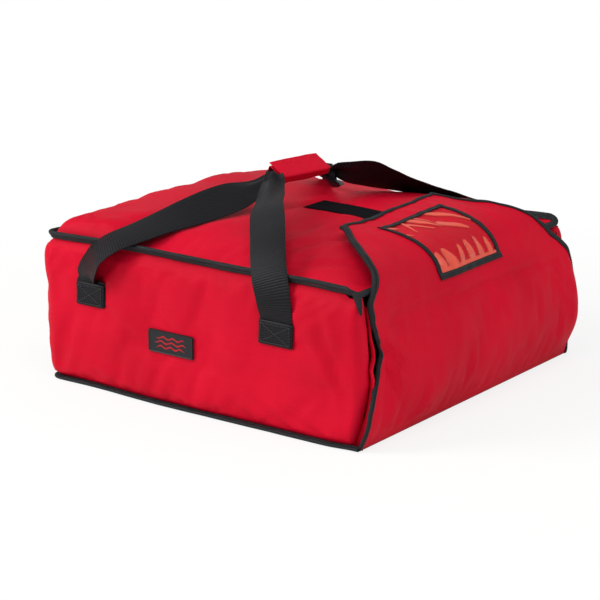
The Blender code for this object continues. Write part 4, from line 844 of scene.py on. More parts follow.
# %% Tape tail and mouth hems
t, v = lay(np.linspace(0, 1, 14), np.linspace(-0.5, 0.5, 6))
tail = np.stack([0.2470 + 0.0075 * t ** 0.7, -0.2500 + 0.0005 * t, 0.2015 - 0.0280 * t], -1)
tail += np.array([1.0, -0.15, 0.12]) * (v * (0.0135 * (1 - t) ** 0.7 + 0.0022))[..., None]
tail[..., 1] -= 0.0016 * np.cos(np.pi * v) * (1 - 0.5 * t)
slab("tape_tail", settle(tail), settle(tail + [0.0, 0.0011, 0.0]), grosgrain)

z, v = lay(np.linspace(0.0015, 0.178, 90), np.linspace(0, 1, 8))
left = np.interp(z, [0.0015, 0.012, 0.037, 0.064, 0.0894, 0.178],
                 [0.2350, 0.2400, 0.2531, 0.2573, 0.2600, 0.2440])
wide = np.interp(z, [0.0015, 0.012, 0.037, 0.08, 0.10, 0.178],
                 [0.0205, 0.0165, 0.0074, 0.0078, 0.0075, 0.0070])
hem_x = left + wide * v + 0.0005 * waver(z, 0.02, 35)
hem_y = (0.2356 + 0.0032 * np.sin(np.pi * 0.62 * v) + 0.0007 * ripple(z, v * 0.01, 0.024, 36)
         - 0.008 * ease(z, 0.098, 0.118))
hem_bow = 0.0060 * (1 - ease(z, 0.002, 0.07))
for label, side in (("front", -1.0), ("back", 1.0)):
    outer = np.stack([hem_x, side * (hem_y + hem_bow * (side < 0)), z], -1)
    slab("mouth_hem_fabric_" + label, outer, outer - [0.0, side * 0.0015, 0.0], coated_nylon,
         ["mouth_hem_" + label], uv=np.stack([hem_x, z], -1))
print("tail and two hems")

# %% [markdown]
# ## The flap
# The flap is a long padded panel on one curve: it rises from the floor, bellies out over the
# mouth, bends over the top edge and lies on the top panel. A point on it is found from its
# length along that curve, its place across and its depth inside the face. Its side edges are
# pulled in over the mouth, its middle hangs a little where the top edge sags, and it creases
# where it folds. Every layer, tape and stitch uses the same function, so they stay together.

# %% The flap's curve, edges and creases
half_count = 100
share_up = np.linspace(0, 1, half_count)
skewed = share_up * (1 + 0.51 * (1 - share_up))
curve_x = 0.2475 + 0.0095 - 0.0045 * share_up + 0.0255 * np.sin(np.pi * skewed)
curve_z = 0.195 * share_up
t = np.linspace(0, 1, half_count)[1:]
weights = np.stack([(1 - t) ** 3, 3 * t * (1 - t) ** 2, 3 * t ** 2 * (1 - t), t ** 3])
over, up = np.array([0.0, 0.075, 0.42, 1.0]) @ weights, np.array([0.0, 0.60, 0.80, 1.0]) @ weights
curve_x = np.r_[curve_x, curve_x[-1] - 0.1275 * over]
curve_z = np.r_[curve_z, curve_z[-1] + 0.0445 * up]
curve_l = run_along(np.stack([curve_x, curve_z], -1))
bend_l, flap_l, slant = 0.20346, float(curve_l[-1]), 0.0095
# Folds of the flap: start and end as (place across, length), half width and depth
flap_folds = [((-0.2150, 0.1660), (0.190, 0.1560), 0.0045, 0.0034),
              ((-0.2150, 0.1600), (-0.080, 0.1510), 0.0040, 0.0026),
              ((-0.2180, 0.1400), (-0.1850, 0.1000), 0.0052, 0.0046),
              ((-0.2100, 0.1230), (-0.2000, 0.0660), 0.0050, 0.0042),
              ((-0.2080, 0.1200), (-0.2250, 0.0200), 0.0070, 0.0026),
              ((0.1900, 0.1550), (0.2350, 0.0900), 0.0060, 0.0016)]


def smooth_edge(lengths, places, spread_by):
    """A smooth line through rough marks: the marks are joined and averaged over a short way."""
    fine = np.linspace(-0.05, flap_l + 0.05, 900)
    rough = np.interp(fine, lengths, places)
    window = np.exp(-(np.linspace(-3, 3, 2 * int(3 * spread_by / (fine[1] - fine[0])) + 1)) ** 2 / 2)
    window /= window.sum()
    padded = np.pad(rough, len(window) // 2, mode="edge")
    return fine, np.convolve(padded, window, mode="valid")


front_marks = smooth_edge([0, .0108, .0272, .0472, .0718, .0964, .1203, .1321, .1385, .1444, .1502, .1606,
                           .1732, .1858, .1919, .1961, .2017, .2080, .2175, .2258, .2374, .2563, .2795,
                           .3049, .3316],
                          [-.2535, -.2556, -.2548, -.2517, -.2431, -.2331, -.2232, -.2194, -.2197, -.2236,
                           -.2271, -.2292, -.2307, -.2317, -.2312, -.2275, -.2195, -.2133, -.2061, -.2006,
                           -.1937, -.1811, -.1632, -.1434, -.1200], 0.0024)
back_marks = smooth_edge([0, .03, .08, .11, .139, .165, .1884, .2073, .24, .274, .3101, .3437],
                         [.252, .252, .250, .251, .252, .240, .2117, .1909, .1686, .1432, .1245, .1033], 0.006)


def flap_edges(length):
    """Places across of the flap's front and back edges at a length along it."""
    return np.interp(length, *front_marks), np.interp(length, *back_marks)


def flap_point(length, y, depth):
    """Point of the flap at a length, a place across and a depth inside its face."""
    length, y, depth = np.broadcast_arrays(np.asarray(length, float), y, depth)
    inside = np.clip(length, 0, flap_l)
    ahead, behind = np.clip(inside + 0.002, 0, flap_l), np.clip(inside - 0.002, 0, flap_l)
    tx = np.interp(ahead, curve_l, curve_x) - np.interp(behind, curve_l, curve_x)
    tz = np.interp(ahead, curve_l, curve_z) - np.interp(behind, curve_l, curve_z)
    size = np.hypot(tx, tz)
    tx, tz, past = tx / size, tz / size, length - inside
    x = np.interp(inside, curve_l, curve_x) + tx * past
    z = np.interp(inside, curve_l, curve_z) + tz * past
    front, back = flap_edges(inside)
    across = np.clip(np.abs(y - (front + back) / 2) / ((back - front) / 2), 0, 1.1)
    swell = np.sin(np.pi * np.clip(inside / bend_l, 0, 1)) ** 2
    pull = np.where(y < 0, 0.0120, -0.0040) * swell * across ** 3
    curl = ease(inside, 0.0, 0.035) * (1 - ease(inside, 0.125, 0.170))
    pull = pull + 0.0145 * curl * np.where(y > 0, np.clip((across - 0.92) / 0.08, 0, 1.3) ** 2, 0.0)
    middle = np.cos(np.pi / 2 * np.clip(across, 0, 1))
    hollow = 0.0060 * middle * np.exp(-((inside - bend_l) / 0.035) ** 2)
    calm = ease(inside, 0.0, 0.03)
    uneven = calm * (0.0022 * ripple(inside, y, 0.10, 41) + 0.0009 * ripple(inside, y * 2.2, 0.05, 42))
    inward = depth + pull + hollow + creases(y, inside, flap_folds) - uneven
    return np.stack([x - tz * inward, np.broadcast_to(y, x.shape), z + tx * inward], -1)


def flap_grid(rows, columns, low=0.0012, high=flap_l, inset=0.0):
    """Lengths and places across on a grid between the flap's edges; the free edge is cut at a
    slight slant, nearer at the front."""
    length = np.linspace(low, high, rows)[:, None]
    s = np.linspace(-1, 1, columns)[None, :]
    s = 0.75 * s + 0.25 * np.sin(np.pi / 2 * s)
    length = length - ease(length, 0.27, flap_l) * slant * (1 - s) / 2
    front, back = flap_edges(length)
    y = (front + inset) + (back - front - 2 * inset) * (s + 1) / 2
    return length, y


fold_body = ("mouth_flap", "flap_top", (0.2605, 0.0, 0.152), (0.2605, 0.0, 0.178))
print("flap", round(flap_l, 4), "m long")

# %% [markdown]
# The flap's cloth is one sheet from its root to its free edge. Its foam and lining are one
# slab behind it, which thins towards the edges so that the tape can close over them.

# %% Flap cloth and padding
def flap_sewn(x, y, z):
    """Where the flap is held: near its root, its side edges and everything from its fold on."""
    return (z < 0.018) | (z > 0.152) | (np.abs(y) > 0.208)


length, y = flap_grid(72, 84)
flap_cloth = sheet("flap_cloth", flap_point(length, y, 0.0), ["flap_lower_outer", "flap_upper_outer"],
                   fold_body, uv=np.stack([length, y], -1), press=(flap_sewn, 0.0030, 0.0012, 0.02),
                   inside=(0.1, 0, 0.05))
length, y = flap_grid(60, 64, 0.0030, flap_l - 0.0015, 0.0015)
front, back = flap_edges(length)
to_edge = np.minimum(np.minimum(y - front, back - y), flap_l - length)
thick = 0.0014 + 0.0042 * ease(to_edge, 0.008, 0.045)
flap_padding = slab("flap_padding", flap_point(length, y, 0.0026), flap_point(length, y, 0.0026 + thick),
                    lining, ["flap_lower_insulation", "flap_upper_insulation", "flap_lower_liner",
                             "flap_upper_liner"], fold_body, uv=np.stack([length, y], -1))
print("flap cloth", length.shape)

# %% [markdown]
# The flap's tape runs up the front edge, across the free edge and down the back edge. On the
# flat pattern of the flap the outline is a plain curve, so the tape is laid there first, with
# its laps square to the outline, and then moved to its place by the flap's own function.

# %% Tape round the flap
def outline_marks(rows):
    """Marks along the flap's outline on its flat pattern, with the outward way at each; the
    two free corners get one mitred mark each."""
    front_rows, cut_front = rows * (flap_l - slant) / flap_l, flap_l - slant
    front, _ = flap_edges(front_rows)
    _, back = flap_edges(rows)
    corner_front = np.array([cut_front, np.interp(cut_front, *front_marks)])
    corner_back = np.array([flap_l, np.interp(flap_l, *back_marks)])
    free = corner_front + (corner_back - corner_front) * np.linspace(0, 1, 30)[1:-1, None]
    line = np.concatenate([np.stack([front_rows, front], -1)[:-1], [corner_front], free, [corner_back],
                           np.stack([rows, back], -1)[:-1][::-1]])
    before = unit(np.diff(line, axis=0, prepend=2 * line[:1] - line[1:2]))
    after = unit(np.diff(line, axis=0, append=2 * line[-1:] - line[-2:-1]))
    way = before + after
    size = np.linalg.norm(way, axis=1)[:, None]
    way = way / size * np.minimum(2 / size, 1.35)
    return line, np.stack([way[:, 1], -way[:, 0]], -1)


line, out = outline_marks(np.linspace(0.0022, flap_l, 120))
if (out[:, 1] * np.sign(line[:, 1]))[:20].mean() < 0:
    out = -out
run, core = run_along(line), 0.0034
slim = 1 - 0.5 * (line[:, 1:] < 0) * (1 - ease(line[:, :1], 0.150, 0.185))
plump, sway = 1 + 0.10 * waver(run, 0.045, 51), 0.0007 * waver(run, 0.035, 52)
turn, lap = np.linspace(np.pi / 2, -np.pi / 2, 9), np.array([-0.0056, -0.0040, -0.0024, -0.0008])
tape_grids = []
for skin in (0.0, tape_cloth):
    half = core / 2 + 0.0013 - skin
    reach = np.r_[lap, half * np.cos(turn) * 0.75, lap[::-1]]
    side = half * np.r_[0.98, 1.08, 0.93, 1.08, np.sin(turn) * 1.05, -1.08, -0.93, -1.08, -0.98]
    spot = line[:, None] + out[:, None] * (reach * slim + sway[:, None])[..., None]
    depth = core / 2 - side * (0.5 + 0.5 * slim) * plump[:, None]
    tape_grids.append(flap_point(spot[..., 0], spot[..., 1], depth))
slab("flap_tape", *tape_grids, grosgrain,
     ["flap_lower_binding_front", "flap_lower_binding_back", "flap_upper_binding"], fold_body)
flap_lap = line - out * 0.0030 * slim
print("flap tape", round(float(run[-1]), 3), "m")

# %% [markdown]
# ## Document window
# A clear vinyl film is sewn over the flap under four strips of tape. The film is stiff and
# never lies flat: it keeps creases from being rolled, which catch the light along its top
# edge and stand as a row of soft humps along its bottom. The humps and streaks are real relief
# here, and an attribute marks them, where the film's finish paints salmon-pink highlights over
# the red.

# %% Window film and its tape
window_low, window_high, window_front, window_back = 0.1848, 0.3042, -0.0742, 0.0718
bars = [((0.298, 0.019), (0.254, 0.062), 0.0054), ((0.301, -0.023), (0.262, 0.001), 0.0056),
        ((0.267, 0.009), (0.243, 0.042), 0.0062), ((0.302, -0.035), (0.267, -0.046), 0.0027),
        ((0.295, -0.071), (0.287, -0.058), 0.0036), ((0.291, -0.038), (0.262, -0.013), 0.0033),
        ((0.299, -0.009), (0.275, 0.003), 0.0028), ((0.268, -0.066), (0.262, -0.060), 0.0020)]
fingers = [((0.193, -0.051), (0.221, -0.059), 0.0078), ((0.193, -0.030), (0.222, -0.042), 0.0098),
           ((0.193, -0.012), (0.220, -0.011), 0.0064), ((0.193, 0.015), (0.222, 0.008), 0.0086),
           ((0.193, 0.039), (0.224, 0.034), 0.0078), ((0.193, 0.061), (0.219, 0.056), 0.0056),
           ((0.1940, -0.058), (0.1935, 0.073), 0.0056)]


def streaks(l, y, marks, taper):
    """Where creased film glints: for each straight mark, 1 inside its half width, which shrinks
    along it by taper times the square of the share gone, with a soft rim."""
    shine = np.zeros_like(l)
    for start, end, half in marks:
        start, end = np.array(start), np.array(end)
        way = end - start
        gone = np.clip(((l - start[0]) * way[0] + (y - start[1]) * way[1]) / (way @ way), 0, 1)
        off = np.hypot(l - start[0] - gone * way[0], y - start[1] - gone * way[1])
        shine = np.maximum(shine, 1 - ease(off / (half * (1 - taper * gone ** 2)), 0.65, 1.2))
    return shine


def window_place(l, y):
    """The window is sewn on a little askew: it leans to the front by 0.16 of the length up."""
    return y - 0.16 * (l - 0.2445)


sewn_in = 0.003
l, y = lay(np.linspace(window_low + sewn_in, window_high - sewn_in, 110),
           np.linspace(window_front + sewn_in, window_back - sewn_in, 124))
y = window_place(l, y)
humps, glints = streaks(l, y, fingers, 0.45), streaks(l, y, bars, 0.70)
# Painted highlight: where this is high, the film's finish lays salmon pink over the red, for the light its
# creases and humps catch.
painted_highlight = np.clip(humps * (0.92 + 0.12 * ripple(l, y, 0.02, 63)) + 0.95 * glints, 0, 1)
film_depth = -0.0009 - 0.0008 * humps - 0.0006 * glints - 0.0003 * ripple(l, y, 0.03, 61)
window_film = slab("window_film", flap_point(l, y, film_depth), flap_point(l, y, film_depth + 0.0004),
                   film, ["document_window"], "flap_top", uv=np.stack([l, y], -1))
layer = window_film.data.attributes.new("painted_highlight", "FLOAT", "POINT")
layer.data.foreach_set("value", np.concatenate([painted_highlight, painted_highlight]).astype(np.float32).ravel())
print("film points", len(layer.data))
for label, l_low, l_high, y_low, y_high in (
        ("bottom", window_low, window_low + 0.0082, window_front, window_back),
        ("top", window_high - 0.0072, window_high, window_front, window_back),
        ("front", window_low + 0.0076, window_high - 0.0066, window_front, window_front + 0.0075),
        ("back", window_low + 0.0076, window_high - 0.0066, window_back - 0.0075, window_back)):
    long_way = label in ("bottom", "top")
    count_l, count_y, lift = (9, 80, 0.0022) if long_way else (64, 9, 0.0018)
    l, y = lay(np.linspace(l_low, l_high, count_l), np.linspace(y_low, y_high, count_y))
    short = (l - l_low) / (l_high - l_low) if long_way else (y - y_low) / (y_high - y_low)
    sag = 0.0004 * np.sin(np.pi * short) ** 0.5 + 0.0003 * ripple(l, y, 0.025, 62)
    y = window_place(l, y)
    slab("window_tape_" + label, flap_point(l, y, -lift - sag), flap_point(l, y, -lift + 0.0011),
         grosgrain, ["window_binding_" + label], "flap_top")

# %% [markdown]
# ## Hook and loop
# The flap closes on a strip of brushed loop sewn along the middle of the top. Its hooked
# partner sits under the flap's free end.

# %% Loop strip, hook strip and the flap's root
loop_start, loop_end, half_strip = 0.0035, 0.1835, 0.023
x, y = lay(np.linspace(loop_start, loop_end, 60), np.linspace(-half_strip, half_strip, 18))
base = np.stack([x, y, top_height(x, y) + 0.0005], -1)
edge_in = np.minimum(np.minimum(x - loop_start, loop_end - x), half_strip - np.abs(y))
pile = 0.0006 + 0.0014 * ease(edge_in, -0.0005, 0.002) + 0.0002 * ripple(x, y, 0.01, 71)
slab("loop_tape", settle(base + up3 * pile[..., None]), settle(base), loop_pile, ["loop_strip"],
     uv=np.stack([x, y], -1))
hook_end = flap_l - 0.0315
l, y = lay(np.linspace(hook_end - 0.055, hook_end, 26), np.linspace(-half_strip, half_strip, 16))
slab("hook_tape", flap_point(l, y, 0.0084), flap_point(l, y, 0.0098), hook_field, ["hook_strip"],
     "flap_top", uv=np.stack([l, y], -1))
root_x = np.array([0.2400, 0.2440, 0.2480, 0.2508, 0.2525, 0.2532, 0.2536])
root_z = np.array([0.0022, 0.0022, 0.0024, 0.0032, 0.0050, 0.0080, 0.0120])
root_y = np.linspace(-0.232, 0.236, 60)
root = np.stack(np.broadcast_arrays(root_x[:, None], root_y[None, :], root_z[:, None]), -1)
root[..., 0] += 0.0004 * ripple(root[..., 1], root[..., 2], 0.05, 72)
sheet("flap_root", root, body=("shell", "mouth_flap", (0.2490, 0.0, 0.0024), (0.2532, 0.0, 0.0075)),
      inside=(0.30, 0, -0.1), thickness=0.0007)
print("loop, hook and root")

# %% [markdown]
# ## Handles
# Each handle is one strap of webbing. It is sewn to the front wall, climbs over the top seam,
# twists towards the grip, runs through it and comes down to the back wall. Its centre line
# and the way its width points are given at stations read off the photograph; a smooth curve
# joins them. Where the grip squeezes it, the strap is gathered into lengthwise folds.

# %% Grip axes and strap stations
grip_centre = np.array([-0.0210, 0.0005, 0.2690])
grip_length, grip_turn, grip_tilt = 0.085, math.radians(11), math.radians(26)
grip_along = np.array([math.sin(grip_turn), math.cos(grip_turn), 0.0])
level = np.array([math.cos(grip_turn), -math.sin(grip_turn), 0.0])
grip_across = level * math.cos(grip_tilt) - up3 * math.sin(grip_tilt)
grip_up = np.cross(grip_across, grip_along)
strap_width = 0.0495
left_front = [(-.1733, -.2559, .1467, 1, 0, -.02), (-.1743, -.2610, .1576, .91, -.42, .01),
              (-.1662, -.2646, .1734, .86, -.51, -.07), (-.1535, -.2648, .1920, .82, -.55, -.16),
              (-.1343, -.2536, .2079, .83, -.52, -.20), (-.1136, -.2261, .2183, .83, -.51, -.22, .0520),
              (-.0979, -.1931, .2276, .85, -.44, -.28, .0530), (-.0822, -.1594, .2366, .85, -.33, -.41, .0540),
              (-.0675, -.1267, .2438, .82, -.22, -.50, .0530), (-.0543, -.0933, .2508, .83, -.21, -.48, .0500),
              (-.0414, -.0599, .2591, .90, -.30, -.31)]
right_front = [(.1314, -.2558, .1468, 1, 0, .02), (.1298, -.2608, .1752, .97, .13, .2),
               (.1193, -.2544, .2026, .91, .26, .33), (.1034, -.2357, .2252, .85, .36, .39),
               (.0834, -.2101, .2411, .8, .42, .42), (.0609, -.1812, .2514, .76, .48, .44),
               (.0385, -.1514, .258, .75, .53, .41, .0460), (.0210, -.1214, .2625, .78, .54, .31, .0405),
               (.0015, -.0909, .2655, .87, .47, .1, .0345), (-.0180, -.0600, .2690, .96, .26, .02, .0300)]
right_back = [(.1314, .256, .147, 1, 0, .01), (.1300, .2640, .1700, .97, -.14, .18),
              (.1120, .2590, .1860, .93, -.22, .30), (.0853, .2379, .1987, .88, -.29, .38),
              (.0646, .2240, .2065, .90, -.24, .37), (.0480, .2050, .2154, .91, -.20, .37),
              (.0389, .1800, .2245, .88, -.19, .44), (.0305, .1532, .2346, .83, -.16, .54),
              (.0272, .1232, .2456, .76, -.11, .64), (.0214, .0918, .2574, .63, -.15, .76),
              (.0120, .0600, .2650, .62, -.16, .70)]
left_back = []
for x, y, z, a, b, c, *_ in left_front[:-1]:
    sag = (0.004 + 0.013 * float(ease(-y, 0.05, 0.24))) * float(ease(z, 0.14, 0.20))
    left_back.append((x, -y, z - sag, a, -b, c))
left_back.append((-.0040, .0620, .2560, .35, .10, -.85))
print("strap stations", len(left_front), len(right_front), len(right_back), len(left_back))


def smooth_run(marks, step):
    """Smooth curve through marks of any size of row, by Catmull-Rom pieces, resampled evenly."""
    marks = np.asarray(marks, float)
    slope = np.gradient(marks, axis=0)
    u = np.linspace(0, len(marks) - 1, 600)
    i = np.minimum(u.astype(int), len(marks) - 2)
    t = (u - i)[:, None]
    fine = ((2 * t ** 3 - 3 * t ** 2 + 1) * marks[i] + (t ** 3 - 2 * t ** 2 + t) * slope[i]
            + (3 * t ** 2 - 2 * t ** 3) * marks[i + 1] + (t ** 3 - t ** 2) * slope[i + 1])
    run = run_along(fine[:, :3])
    even = np.linspace(0, run[-1], int(run[-1] / step) + 1)
    return resample(even, run, fine), even


def strap(name, front, back, layer, replaces, seed):
    """One strap from wall to wall: marks hold place, width way and width."""
    marks = []
    for leg, side in ((front, -1), (back, 1)):
        x, y = leg[0][:2]
        rows = [(x, y, 0.1162, 1, 0, 0, strap_width), (x, y, 0.1310, 1, 0, 0, strap_width)]
        rows += [(*row[:6], row[6] if len(row) > 6 else strap_width) for row in leg]
        if layer > 0 and side < 0:
            rows.append((-.0240, -.0500, .2760, .97, .24, 0.0, 0.0235))
        else:
            rows[-1] = (*leg[-1][:6], 0.034)
        mouth = grip_centre + grip_up * layer + grip_along * side * (grip_length / 2 - 0.002)
        rows.append((*mouth, *grip_across, 0.0275))
        marks.append(rows)
    middle = [(*(grip_centre + grip_up * layer), *grip_across, 0.0270)]
    line, run = smooth_run(marks[0] + middle + marks[1][::-1], 0.0052)
    place, way, width = line[:, :3], line[:, 3:6], line[:, 6]
    tangent = unit(np.gradient(place, axis=0))
    way = unit(way - tangent * (way * tangent).sum(1)[:, None])
    normal = np.cross(way, tangent)
    if (normal * (place - [0, 0, 0.1])).sum() < 0:
        normal = -normal
    v = np.linspace(-0.5, 0.5, 25)
    squeeze = ease(1 - width / strap_width, 0.02, 0.40)[:, None]
    free = (ease(run, 0.035, 0.075) * (1 - ease(run, run[-1] - 0.075, run[-1] - 0.035)))[:, None]
    in_grip = np.exp(-(((place - grip_centre) @ grip_along) / (grip_length * 0.56)) ** 8)[:, None]
    wave = 0.0019 * squeeze * (1 - 0.80 * in_grip) * np.cos(2 * np.pi * 1.6 * v + 0.9)
    wave += free * (0.0007 * waver(run, 0.08, seed)[:, None] - 0.0044 * v ** 2)
    half_thick = (0.0016 + 0.0009 * squeeze) / 2 * (1 - 0.35 * np.abs(2 * v) ** 12)
    middle_face = place[:, None] + way[:, None] * (v * width[:, None])[..., None]
    upper = middle_face + normal[:, None] * (wave + half_thick)[..., None]
    lower = middle_face + normal[:, None] * (wave - half_thick)[..., None]
    uv = np.stack(np.broadcast_arrays(run[:, None], v * strap_width), -1)
    slab(name, upper, lower, webbing, replaces, ("shell", "grip", (0, 0, 0.150), (0, 0, 0.262)), uv=uv)
    print(name, round(float(run[-1]), 3), "m of webbing")


layer = 0.00162
strap("left_handle_strap", left_front, left_back, -layer, ["left_handle_webbing"], 81)
strap("right_handle_strap", right_front, right_back, layer, ["right_handle_webbing"], 82)

# %% [markdown]
# Every strap end is covered by a square patch of the same webbing, sewn with a box and a
# cross. `stitches` lays thread along any path: each stitch is a short tube that dives into
# the cloth at both ends.

# %% Stitches and the four patches
def stitches(name, lines, body, pitch=0.0042, long=0.0031, radius=0.00038):
    """Thread along paths, given as pairs of points and outward ways: for each stitch four rings
    of five points, thin and sunk at both ends."""
    size, rise = radius * np.array([[0.55, 1.0, 1.0, 0.55], [-0.5, 0.75, 0.75, -0.5]])[..., None]
    angle = np.linspace(0, 2 * np.pi, 6)[:-1]
    r, k = lay(np.arange(3), np.arange(5))
    quad = np.stack([r * 5 + k, r * 5 + (k + 1) % 5, (r + 1) * 5 + (k + 1) % 5, (r + 1) * 5 + k], -1)
    all_points, all_uv, all_faces, count = [], [], [], 0
    for points, outward in lines:
        run = run_along(points)
        number = max(int(run[-1] / pitch), 1)
        centre = (np.arange(number) + 0.5) * run[-1] / number
        at = centre[:, None] + long * np.array([-0.5, -0.3, 0.3, 0.5])
        spot, out = resample(at, run, points), unit(resample(at, run, outward))
        side = np.cross(unit(spot[:, -1:] - spot[:, :1]), out)
        ring = (out[:, :, None] * (rise + size * np.sin(angle))[..., None]
                + side[:, :, None] * (1.25 * size * np.cos(angle))[..., None])
        all_points.append((spot[:, :, None] + ring).reshape(-1, 3))
        all_faces.append((count + np.arange(number)[:, None, None, None] * 20 + quad).reshape(-1, 4))
        all_uv.append(np.stack([np.repeat(at.ravel(), 5), np.tile(angle * radius, number * 4)], -1))
        count += number * 20
    piece = make_mesh(name, np.concatenate(all_points), np.concatenate(all_faces),
                      np.concatenate(all_uv), dark_thread, merge=1e-7)
    rework(piece.data, close_and_turn)
    seat(piece, body)


patch_z, patch_half_z, patch_lines = 0.1297, 0.0157, []
a, b = lay(np.linspace(-1, 1, 26), np.linspace(-1, 1, 18))
pillow = 0.0007 * (1 - a ** 6) * (1 - b ** 6) - 0.0006 * (np.abs(a) ** 16 + np.abs(b) ** 16)
patch_y = 0.25705 + pillow + 0.0002 * ripple(a, b, 0.7, 91)
for label, x, half_width in (("left", -0.1735, 0.0236), ("right", 0.1314, 0.0262)):
    for wall, side in (("front", -1.0), ("back", 1.0)):
        px, pz = x + half_width * a + 0.0006 * b, patch_z + patch_half_z * b
        slab("strap_patch_" + wall + "_" + label, np.stack([px, side * (patch_y + 0.0011), pz], -1),
             np.stack([px, np.full_like(px, side * 0.2562), pz], -1), webbing,
             ["handle_patch_" + wall + "_" + label],
             uv=np.stack([patch_half_z * b + 0.02, half_width * a], -1))
        low, high, y = patch_z - 0.0122, patch_z + 0.0122, side * 0.25895
        left, right = x - half_width + 0.0037, x + half_width - 0.0037
        corners = [(left, y, low), (right, y, low), (right, y, high), (left, y, high)]
        for one, other in ((0, 1), (1, 2), (2, 3), (3, 0), (0, 2), (1, 3)):
            patch_lines.append((np.linspace(corners[one], corners[other], 8),
                                np.tile([0, side, 0], (8, 1))))
stitches("patch_thread", patch_lines, "shell", pitch=0.0036, long=0.0027)
print("four patches")

# %% [markdown]
# Each tape is held by a row of stitches along its lap. The tape round the top shows its row on
# both faces, and the window has one row on each of its four strips.

# %% Rows of stitches on the tapes
row = ring_line + ring_along * 0.0058
stitches("top_thread", [(settle(row - ring_across * 0.0022), -ring_across),
                        (settle(row + ring_across * 0.0022), ring_across)], "shell")
row = settle(low_line + low_along * 0.0056 + low_across * 0.0017)
stitches("bottom_thread", [(row, low_across)], "shell")
l, y = flap_lap.T
row = flap_point(l, y, -0.0017)
stitches("flap_thread", [(row, row - flap_point(l, y, 0.0))], fold_body)
rows, share = [], np.linspace(0.006, 0.994, 60)
up_window = window_low + (window_high - window_low) * share
over_window = window_front + (window_back - window_front) * share
for l, y, lift in ((window_low + 0.0066, over_window, 0.0025), (window_high - 0.0058, over_window, 0.0025),
                   (up_window, window_front + 0.0060, 0.0021), (up_window, window_back - 0.0060, 0.0021)):
    y = window_place(l, y)
    row = flap_point(l, y, -lift)
    rows.append((row, row - flap_point(l, y, 0.0)))
stitches("window_thread", rows, "flap_top")
print("stitch rows on four tapes")

# %% [markdown]
# ## The grip
# A padded nylon wrap is folded round both straps and closed on top with hook and loop. Its
# section is a C open to one side, and the closing flap is an L that comes from below, up the
# open side and over the top. Both are carried along the grip, with soft corners and a slight
# crown on top.

# %% Grip wrap, padding, pads and closing flap
def softened(points, radius, steps=5):
    """Polyline whose inner corners are replaced by short curves: at each corner a quadratic
    curve runs from a radius before it to a radius after it."""
    points = [np.array(point, float) for point in points]
    path = [points[0]]
    t = np.linspace(0, 1, steps)[:, None]
    for before, corner, after in zip(points[:-2], points[1:-1], points[2:]):
        start = corner + (before - corner) / np.linalg.norm(before - corner) * radius
        end = corner + (after - corner) / np.linalg.norm(after - corner) * radius
        path += list((1 - t) ** 2 * start + 2 * t * (1 - t) * corner + t ** 2 * end)
    path.append(points[-1])
    marks = np.array(path)
    run = run_along(marks)
    return resample(np.linspace(0, run[-1], 44), run, marks)


def grip_sheet(name, section, thickness, length, finish, body, replaces, seed, crown):
    """Sheet of one section, given as (across, up), carried along the grip, with its ends a
    little wavy and its middle fuller by crown."""
    section = softened(section, 0.0016)
    tangent = unit(np.gradient(section, axis=0))
    inward = np.stack([tangent[:, 1], -tangent[:, 0]], -1)
    if (inward * section).sum() > 0:
        inward = -inward
    s, run = np.linspace(-0.5, 0.5, 34)[:, None], np.linspace(0, 1, len(section))
    along = s * length * (1 + 0.012 * waver(run, 0.5, seed))
    full = crown * (1 - (2 * s) ** 4) + 0.0003 * ripple(s * 0.085, run * 0.08, 0.02, seed)
    grids = []
    for skin in (0.0, thickness):
        flat = section + inward * (skin - full)[..., None]
        grids.append(grip_centre + grip_across * flat[..., :1] + grip_up * flat[..., 1:]
                     + grip_along * along[..., None])
    slab(name, *grids, finish, replaces, body)


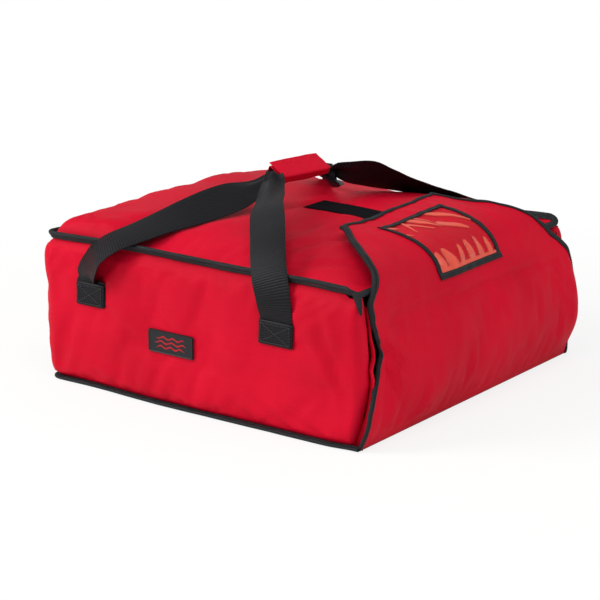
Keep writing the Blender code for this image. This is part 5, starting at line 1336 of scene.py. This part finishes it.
# Half heights of the foam and the wrap, their open sides, and the heights of the two squares
foam_up, wrap_up, foam_side, wrap_side, open_side = 0.0054, 0.0067, -0.0158, -0.0171, 0.0138
loop_up, hook_up, half_square, square_long = 0.0080, 0.0093, 0.011, 0.074
foam_path = [(0.0053, -foam_up), (foam_side, -foam_up), (foam_side, foam_up), (open_side, foam_up)]
wrap_path = [(0.0068, -wrap_up), (wrap_side, -wrap_up), (wrap_side, wrap_up), (open_side, wrap_up)]
loop_path, hook_path = [[(x, up) for x in (-half_square, 0.0, half_square)] for up in (loop_up, hook_up)]
cover_path = [(0.0129, -0.0017), (0.0157, 0.0102), (-0.0183, 0.0108)]
for piece in (
        ("grip_padding_foam", foam_path, 0.0019, grip_length - 0.012, foam, "grip", ["grip_padding"],
         101, 0.0),
        ("grip_wrap_cloth", wrap_path, 0.0010, grip_length, coated_nylon, "grip", ["grip_wrap"], 102, 0.0),
        ("grip_loop_square", loop_path, 0.0010, square_long, loop_pile, "grip", ["grip_loop_pad"],
         103, 0.0),
        ("grip_hook_square", hook_path, 0.0010, square_long, hook_field, "grip_closure",
         ["grip_hook_pad"], 104, 0.0),
        ("grip_cover_cloth", cover_path, 0.0010, grip_length + 0.0010, coated_nylon, "grip_closure",
         ["grip_flap"], 105, 0.0010)):
    grip_sheet(*piece)
print("grip of five pieces")

# %% [markdown]
# ## Label plate
# A moulded rubber plate is glued and sewn on the front wall. The real one carries lettering,
# which is left out. It has a raised rim, and its field holds three plain waves, like rising
# heat, in red rubber.

# %% Label plate and its waves
plate_x, plate_z, plate_half_x, plate_half_z = -0.0390, 0.0855, 0.0372, 0.0155
a, b = lay(np.linspace(-1, 1, 90), np.linspace(-1, 1, 44))
rim_a, rim_b = (1 - np.abs(a)) * plate_half_x, (1 - np.abs(b)) * plate_half_z
corner = 0.0020
cut_a, cut_b = np.clip(corner - rim_a, 0, None), np.clip(corner - rim_b, 0, None)
rounded = (cut_a > 0) & (cut_b > 0)
inset = np.where(rounded, corner - np.hypot(cut_a, cut_b), np.minimum(rim_a, rim_b))
height = 0.0022 * ease(inset, -0.0002, 0.0009) - 0.0007 * ease(inset, 0.0017, 0.0023)
px = plate_x + plate_half_x * a - np.where(rounded, np.sign(a) * 0.3 * cut_b, 0)
pz = plate_z + plate_half_z * b - np.where(rounded, np.sign(b) * 0.3 * cut_a, 0)
slab("label_plate_rubber", np.stack([px, -0.2546 - height, pz], -1),
     np.stack([px, np.full_like(px, -0.2543), pz], -1), plate_rubber, ["label_plate"],
     uv=np.stack([px, pz], -1))
t, v = lay(np.linspace(-1, 1, 60), np.linspace(-1, 1, 7))
waves = ((0.0062, 0.024, 0.0), (0.0, 0.027, 0.8), (-0.0062, 0.024, 1.6))
for number, (low, reach, phase) in enumerate(waves):
    px = plate_x + reach * t
    pz = plate_z + low + 0.0014 * np.sin(2 * np.pi * 1.5 * t + phase) + 0.0013 * v * (1 - np.abs(t) ** 6)
    rise = 0.0006 * np.sqrt(np.clip(1 - v ** 2, 0, 1)) * (1 - np.abs(t) ** 8)
    slab("plate_wave_%d" % (number + 1), np.stack([px, -0.25600 - rise, pz], -1),
         np.stack([px, np.full_like(px, -0.2558), pz], -1), red_rubber, uv=np.stack([px, pz], -1))
print("plate with three waves")
